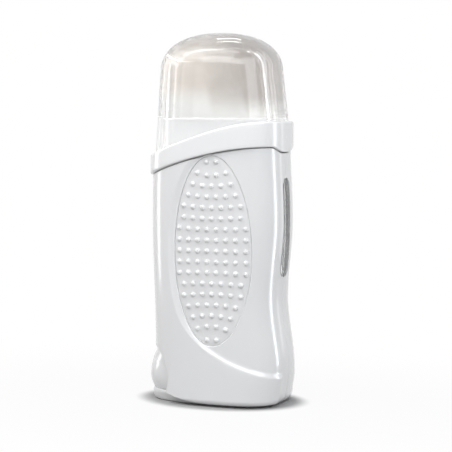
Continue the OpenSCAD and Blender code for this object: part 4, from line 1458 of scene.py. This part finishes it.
@dataclass
class InletHousing:
    """The barrel shaped housing low on the left side, round the inlet's opening."""

    form: BodyForm = FORM
    reach: float = 40.3
    half_d: float = 23.0
    end_share: float = 0.7
    bulge_r: float = 27.0
    low_bulge_r: float = 13.0
    wall: float = 2.0
    gap: float = 0.15
    low_z: float = 6.55
    fillet: float = 0.35
    inlet_z: float = 17.0
    inlet_half_w: float = 10.15
    inlet_half_h: float = 6.15
    columns: int = 200
    rings: int = 26

    def _table(self) -> None:
        """Distances along the section from its leftmost place."""
        self.run, self.off = even_angles(
            180.0, 270.0, self.reach, self.half_d, self.form.squareness, TABLE_STEPS
        )

    def _reach(self, z: np.ndarray) -> np.ndarray:
        """The barrel's reach to the left at a height, rounder below its middle."""
        radius = np.where(z > self.form.cut_z, self.bulge_r, self.low_bulge_r)
        return self.reach - (z - self.form.cut_z) ** 2 / (2 * radius)

    def _point(self, s: np.ndarray, z: np.ndarray, wall: float) -> np.ndarray:
        """Place on the housing at a distance along it and a height."""
        angle = 180.0 + np.sign(s) * (np.interp(np.abs(s), self.run, self.off) - 180.0)
        reach = self._reach(z)
        half_d = self.half_d - self.end_share * (self.reach - reach)
        x, y = section(angle, reach - wall, self.form.right_reach(z) - wall, half_d - wall,
                       self.form.squareness)
        return np.stack([x, y, z + 0.0 * x], axis=-1)

    def _edge(self, inset: float) -> np.ndarray:
        """The housing's outline as distances and heights, once round from its lowest middle."""
        f = self.form
        r = f.cut_r - self.gap - inset
        z = np.linspace(self.low_z + inset, f.cut_z + r - 0.001, 1600)
        x = f.cut_x + np.sqrt(np.clip(r**2 - (z - f.cut_z) ** 2, 0, None))
        reach = self._reach(z)
        right = f.right_reach(z)
        share = np.clip((x - (right - reach) / 2) / ((right + reach) / 2), -1.0, 1.0)
        bent = np.degrees(np.arccos(np.sign(share) * np.abs(share) ** (f.squareness / 2)))
        s = np.interp(360.0 - bent, self.off, self.run)
        last = int(np.argmax(s <= 1e-6)) if (s <= 1e-6).any() else len(s)
        side = np.stack([s[:last], z[:last]], axis=-1)
        low = np.stack([np.linspace(0, side[0, 0], 60)[:-1], np.full(59, side[0, 1])], axis=-1)
        half = np.concatenate([low, side, [[0.0, z[last - 1]]]])
        other = half[::-1] * np.array([-1.0, 1.0])
        loop = np.concatenate([half, other[1:]])
        run = np.concatenate([[0.0], np.cumsum(np.linalg.norm(np.diff(loop, axis=0), axis=1))])
        at = np.arange(self.columns) * run[-1] / self.columns
        return np.stack([np.interp(at, run, loop[:, 0]), np.interp(at, run, loop[:, 1])], axis=-1)

    def _hole(self, grow: float, outer: np.ndarray) -> np.ndarray:
        """The inlet's opening, matched to the outline's directions."""
        turn = np.arctan2(outer[:, 1] - self.inlet_z, outer[:, 0] * 0.62)
        c, s = np.cos(turn), np.sin(turn)
        w, h = self.inlet_half_w + grow, self.inlet_half_h + grow
        size = 1.0 / (np.abs(c / w) ** 12 + np.abs(s / h) ** 12) ** (1 / 12)
        return np.stack([c * size, self.inlet_z + s * size], axis=-1)

    def _sections(self) -> np.ndarray:
        """All rows, from the opening's lip outwards and back along the inside."""
        self._table()
        r = self.fillet
        arcs = arc(r, (90, 60, 30))
        outer = self._edge(r)
        rows = []
        for e, sink in arcs:
            hole = self._hole(e, outer)
            rows.append(self._point(hole[:, 0], hole[:, 1], sink))
        hole = self._hole(r, outer)
        for j in range(self.rings + 1):
            at = hole + (outer - hole) * j / self.rings
            rows.append(self._point(at[:, 0], at[:, 1], 0.0))
        for e, sink in arcs[::-1]:
            at = self._edge(e)
            rows.append(self._point(at[:, 0], at[:, 1], sink))
        edge, hole = self._edge(0.0), self._hole(0.0, outer)
        for j in range(9):
            at = edge + (hole - edge) * j / 8
            rows.append(self._point(at[:, 0], at[:, 1], self.wall))
        return np.stack(rows)

    def build(self) -> bpy.types.Object:
        """Builds and dresses the housing."""
        piece = shaped_ring("inlet_surround", self._sections())
        smooth(piece, 36)
        return dress(piece, SHELL_WHITE, "base", ["inlet_housing"])


@dataclass
class Inlet:
    """The black inlet body with its recess, and the two plated pins."""

    edge: float = 0.4
    face_x: float = -37.6
    pin_d: float = 2.36
    pin_pitch: float = 8.6
    pin_x: float = -33.4
    pin_end: float = -15.9
    pin_z: float = 17.0
    tip: float = 0.55

    def _pin(self, side: float) -> bpy.types.Object:
        """One pin with rounded ends."""
        at = ((self.pin_x + self.pin_end) / 2, side * self.pin_pitch / 2, self.pin_z)
        length = self.pin_end - self.pin_x
        pin = cylinder("pin", self.pin_d / 2, length, 40, at, (0, math.pi / 2, 0))
        settle(pin)
        round_edges(pin, self.tip, 5)
        return pin

    def build(self) -> list[bpy.types.Object]:
        """Builds and dresses the inlet's body and its pins."""
        body = copy_of_node("inlet_socket", "inlet_body")
        edit(body, lambda: bpy.ops.mesh.bisect(
            plane_co=(self.face_x * MM, 0, 0), plane_no=(-1, 0, 0), clear_outer=True,
            use_fill=True))
        round_edges(body, self.edge)
        smooth(body, 30)
        pins = join([self._pin(-1.0), self._pin(1.0)], "contact_pins")
        smooth(pins, 40)
        return [dress(body, SOCKET_BLACK, "base", ["inlet_socket"]),
                dress(pins, PIN_PLATED, "base", ["inlet_pins"])]


@dataclass
class Base:
    """The base that closes the underside, its foot band and its four screws.

    Its columns are spaced on a plain section of plan_half_w by plan_half_d.
    """

    form: BodyForm = FORM
    columns: int = 200
    height: float = 6.4
    floor: float = 2.4
    wall: float = 2.0
    low_left: float = 34.9
    foot_left: float = 38.5
    swell_x: float = -18.0
    plan_half_w: float = 36.0
    plan_half_d: float = 23.0
    gap: float = 0.8
    round: float = 2.4
    pillars: tuple = ((-12.0, -12.0), (-12.0, 12.0), (24.0, -12.0), (24.0, 12.0))
    head_d: float = 5.6
    head_h: float = 1.2
    recess: float = 0.3
    screw_d: float = 3.0
    screw_len: float = 11.0
    hole_gap: float = 0.25
    head_round: float = 0.3

    def _section(self, z: float, inset: float) -> np.ndarray:
        """Cross-section of the base at a height, drawn in by a distance."""
        f = self.form
        run, table = even_angles(0.0, 360.0, self.plan_half_w, self.plan_half_d, f.squareness,
                                 2 * TABLE_STEPS - 1)
        angle = np.interp(np.arange(self.columns) * run[-1] / self.columns, run, table)
        low = max(0.0, self.round - z)
        rounding = self.round - math.sqrt(self.round**2 - low**2)
        edge_z = f.lift + EDGE_START * f.edge_round + self.gap
        most = float(f.edge_inset(np.array(f.lift)))
        edge_in = most * min(1.0, max(0.0, (edge_z - z) / (edge_z - f.lift)))
        draw = f.wall + self.gap + edge_in + 0.6 * rounding + inset
        left = self.low_left - draw
        swell = self.foot_left - rounding - inset - left
        right = float(f.right_reach(np.array(z))) - draw
        x, y = section(angle, left, right, f.half_depth - draw, f.squareness)
        share = np.clip((self.swell_x - x) / (self.swell_x + left), 0.0, None)
        return np.stack([x - swell * ease(share), y, np.full_like(x, z)], axis=-1)

    def _cover(self) -> bpy.types.Object:
        """The base itself, with its screw holes."""
        outer = [0.0, 0.12, 0.35, 0.7, 1.1, 1.6, 2.1, 2.6, 3.2, 4.0, 4.8, 5.6, 6.2]
        rows = [self._section(z, 0.0) for z in outer]
        rows += [self._section(self.height, 0.2), self._section(self.height, self.wall - 0.2)]
        rows += [self._section(z, self.wall) for z in (self.height - 0.2, 4.4, self.floor)]
        rows = rows[::-1]
        inner = rows[0]
        rows = [inner * np.array([s, s, 1.0]) for s in (0.25, 0.5, 0.75)] + rows
        last = rows[-1]
        rows += [last * np.array([s, s, 1.0]) for s in (0.75, 0.5, 0.25)]
        cover = shaped_ball("base_plate", (0, 0, self.floor), np.stack(rows), (0, 0, 0))
        for x, y in self.pillars:
            for radius, depth in (
                (self.screw_d / 2 + self.hole_gap, 8.0),
                (self.head_d / 2 + self.hole_gap, 2 * (self.recess + self.head_h + 0.05)),
            ):
                cut(cover, cylinder("screw_hole", radius, depth, 48, (x, y, 0)))
        smooth(cover, 32)
        return cover

    def _screw(self) -> bpy.types.Object:
        """One screw at the origin, its head down, with a cross recess and a ridged shank."""
        head = cylinder("screw_head", self.head_d / 2, self.head_h, 48, (0, 0, self.head_h / 2))
        settle(head)
        round_edges(head, self.head_round)
        for turn in (0.0, math.pi / 2):
            deselect_all()
            bpy.ops.mesh.primitive_cube_add(size=1.0, rotation=(0, 0, turn))
            slot = added("screw_slot")
            slot.scale = (self.head_d * 0.6 * MM, 0.7 * MM, self.head_h * MM)
            cut(head, slot)
        shank = cylinder("screw_shank", self.screw_d / 2, self.screw_len, 32,
                         (0, 0, self.head_h / 2 + self.screw_len / 2))
        settle(shank)
        ridges = 14
        step = (self.screw_len - self.head_h) / ridges

        def thread() -> None:
            """Cuts the shank into bands, whose every other edge is drawn in afterwards."""
            for i in range(1, 2 * ridges):
                bpy.ops.mesh.select_all(action="SELECT")
                bpy.ops.mesh.bisect(
                    plane_co=(0, 0, (self.head_h + i * step / 2) * MM), plane_no=(0, 0, 1))

        edit(shank, thread)
        co = corners(shank) / MM
        band = (co[:, 2] - self.head_h) / (step / 2)
        deep = (np.abs(band - np.rint(band)) < 0.01) & (np.rint(band) % 2 == 1) & (band > 0.5)
        co[deep, :2] *= 0.86
        tip = co[:, 2] > self.head_h / 2 + self.screw_len - 0.01
        co[tip, :2] *= 0.6
        write_points(shank, co)
        return join([head, shank], "screw")

    def build(self) -> list[bpy.types.Object]:
        """Builds and dresses the base and its screws."""
        cover = self._cover()
        places = [(x * MM, y * MM, self.recess * MM) for x, y in self.pillars]
        screws = spread(self._screw(), places, "base_fixings")
        smooth(screws, 30)
        return [dress(cover, LIT_BASE_WHITE, "base", ["base_cover"]),
                dress(screws, SCREW_STEEL, "base", ["base_screws"])]


@dataclass
class HeatedCore:
    """The chamber, gasket, carrier and heating parts, which keep their own solids."""

    finishes: dict[str, Finish] = field(default_factory=lambda: {
        "chamber": CHAMBER_METAL,
        "chamber_gasket": GASKET_SILICONE,
        "chamber_bracket": CARRIER_PLASTIC,
        "heater_plate_front": PLATE_METAL,
        "heater_plate_back": PLATE_METAL,
        "ptc_front": ELEMENT_CERAMIC,
        "ptc_back": ELEMENT_CERAMIC,
        "heater_bands": BAND_STEEL,
        "thermal_fuse": FUSE_CERAMIC,
        "wire_live": LEAD_BROWN,
        "wire_link": LEAD_BROWN,
        "wire_neutral": LEAD_BLUE,
    })

    def build(self) -> list[bpy.types.Object]:
        """Gives each solid its finish.

        Returns:
            The frame's objects that were dressed.
        """
        made = []
        for node, finish in self.finishes.items():
            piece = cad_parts[node]
            if not piece.material_slots:
                piece.data.materials.append(finish.material())
            for slot in piece.material_slots:
                slot.material = finish.material()
            LOG.info("%s: finish %s", node, finish.name)
            made.append(piece)
        return made


# ---------------------------------------------------------------------------------------------
# Studio
# ---------------------------------------------------------------------------------------------


@dataclass
class Lamp:
    """A soft rectangular lamp that looks at a point of the heater."""

    name: str
    place: tuple[float, float, float]
    aim: tuple[float, float, float]
    size: tuple[float, float]
    power: float
    only_gloss: bool = False
    tone: tuple[float, float, float] = (1.0, 1.0, 1.0)

    def build(self) -> bpy.types.Object:
        """Adds the lamp."""
        data = bpy.data.lights.new(self.name, "AREA")
        data.shape = "RECTANGLE"
        data.size, data.size_y = self.size
        data.energy = self.power
        data.color = self.tone
        lamp = bpy.data.objects.new(self.name, data)
        lamp.location = self.place
        way = Vector(self.aim) - Vector(self.place)
        lamp.rotation_euler = way.to_track_quat("-Z", "Y").to_euler()
        lamp.visible_camera = False
        lamp.visible_diffuse = not self.only_gloss
        bpy.context.scene.collection.objects.link(lamp)
        return lamp


@dataclass
class Studio:
    """White floor with a painted contact shadow round the heater, white surroundings, soft lamps
    and the camera.
    """

    ambient_low: float = 0.18
    ambient_high: float = 0.70
    floor_tone: float = 0.41
    # Glow share inside the painted contact shadow round the footprint.
    painted_shadow_glow: float = 0.0
    floor_soft: float = 0.95
    camera_place: tuple[float, float, float] = (0.3271, -0.7650, 0.1576)
    pitch: float = 4.136
    yaw: float = 23.0
    lens: float = 118.96
    lamps: tuple = (
        Lamp("key_top", (-0.15, -0.33, 0.56), (0.0, 0.0, 0.14), (0.40, 0.40), 1.3),
        Lamp("fill_right", (0.43, -0.38, 0.42), (0.0, 0.0, 0.14), (0.42, 0.42), 2.0, False,
             (0.93, 0.965, 1.0)),
        Lamp("fill_left", (-0.60, -0.32, 0.60), (0.0, 0.0, 0.12), (0.4, 0.5), 1.35),
        Lamp("gloss_front", (0.0, -0.80, 0.60), (0.0, 0.0, 0.08), (0.80, 0.30), 3.2, True),
        Lamp("gloss_left", (-0.50, -0.07, 0.26), (0.0, 0.0, 0.26), (0.10, 0.50), 0.7, True),
        Lamp("gloss_right", (0.256, 0.103, 0.30), (0.036, -0.013, 0.30), (0.05, 0.60), 0.6, True,
             (0.92, 0.96, 1.0)),
        Lamp("rim_right", (0.24, 0.34, 0.26), (0.03, 0.0, 0.26), (0.03, 0.50), 0.09, True),
        Lamp("gloss_bar", (-0.24, 0.467, 1.02), (0.0, 0.0, 0.2), (0.30, 0.035), 1.1, True),
        Lamp("gloss_arc", (-0.70, -0.12, 0.55), (0.0, 0.0, 0.19), (1.2, 0.03), 1.0, True),
        Lamp("gloss_side", (0.50, -0.03, 0.74), (0.02, -0.02, 0.19), (0.05, 0.60), 1.0, True),
    )

    @staticmethod
    def _seen(desk: Desk) -> Value:
        """1 for what the camera, a reflection or a clear piece sees."""
        path = desk.add("ShaderNodeLightPath")
        camera = Value(desk, path.outputs["Is Camera Ray"])
        glossy = Value(desk, path.outputs["Is Glossy Ray"])
        through = Value(desk, path.outputs["Is Transmission Ray"])
        return camera.highest(glossy).highest(through)

    def _floor(self) -> bpy.types.Object:
        """The pale floor, which keeps the heater's soft shadow and has a painted contact shadow: in
        an ellipse round the footprint its glow gives way to its dim diffuse tone.
        """
        deselect_all()
        bpy.ops.mesh.primitive_circle_add(vertices=96, radius=4.0, fill_type="NGON",
                                          location=(0, 0, -0.00005))
        floor = added("studio_floor")
        settle(floor)
        desk = Desk("floor_white")
        grain = desk.noise(6.0, 3.0)
        tone = desk.mix(grain, (self.floor_tone,) * 3, (self.floor_tone + 0.02,) * 3)
        matt = desk.add("ShaderNodeBsdfDiffuse", None, {"Color": tone})
        glow = desk.add("ShaderNodeEmission", None, {"Color": (1.0, 1.0, 1.0), "Strength": 1.0})
        across, along = desk.axis("X") / 0.043, desk.axis("Y") / 0.031
        out = (across * across + along * along) ** 0.5
        # Painted contact shadow: inside the ellipse the floor shows only its dim diffuse tone, lit
        # or not; outside it the glow comes back.
        near = desk.span(out, 0.95, 1.22, self.painted_shadow_glow, self.floor_soft)
        far = desk.span(out, 1.2, 7.0, 0.0, 1.0 - self.floor_soft)
        share = self._seen(desk) * (near + far)
        both = desk.add("ShaderNodeMixShader", None,
                        {0: share, 1: matt.outputs[0], 2: glow.outputs[0]})
        desk.tree.links.new(both.outputs[0], desk.output.inputs[0])
        floor.data.materials.append(desk.material)
        return floor

    def _surroundings(self) -> None:
        """White surroundings that the camera sees as pure white."""
        desk = Desk("studio_white", surroundings=True)
        bpy.context.scene.world = desk.material
        split = desk.add("ShaderNodeSeparateXYZ", None,
                         {0: desk.add("ShaderNodeTexCoord").outputs["Generated"]})
        soft = desk.span(Value(desk, split.outputs["Z"]), -0.2, 1.0,
                         self.ambient_low, self.ambient_high)
        strength = soft + self._seen(desk) * (1.0 - soft)
        glow = desk.add("ShaderNodeBackground", None,
                        {"Color": (1.0, 1.0, 1.0), "Strength": strength})
        desk.tree.links.new(glow.outputs[0], desk.output.inputs[0])

    def _camera(self) -> bpy.types.Object:
        """The camera, level with the neck's rim and turned towards the right side."""
        data = bpy.data.cameras.new("studio_camera")
        data.sensor_width = 36.0
        data.lens = self.lens
        camera = bpy.data.objects.new("studio_camera", data)
        camera.location = self.camera_place
        camera.rotation_euler = (math.radians(90 - self.pitch), 0.0, math.radians(self.yaw))
        bpy.context.scene.collection.objects.link(camera)
        bpy.context.scene.camera = camera
        return camera

    def build(self) -> None:
        """Builds the floor, the surroundings, the lamps and the camera."""
        self._floor()
        self._surroundings()
        for lamp in self.lamps:
            lamp.build()
        self._camera()
        bpy.context.scene.view_settings.view_transform = "Standard"


def main() -> None:
    """Builds every sub-assembly in order."""
    logging.basicConfig(level=logging.INFO, format="%(name)s: %(message)s")
    MouldedHalves().build()
    OvalGrips().build()
    CollarAndNeck().build()
    ClearCap().build()
    WindowInsert().build()
    InletHousing().build()
    Inlet().build()
    Base().build()
    HeatedCore().build()
    Studio().build()


if __name__ == "__main__":
    main()
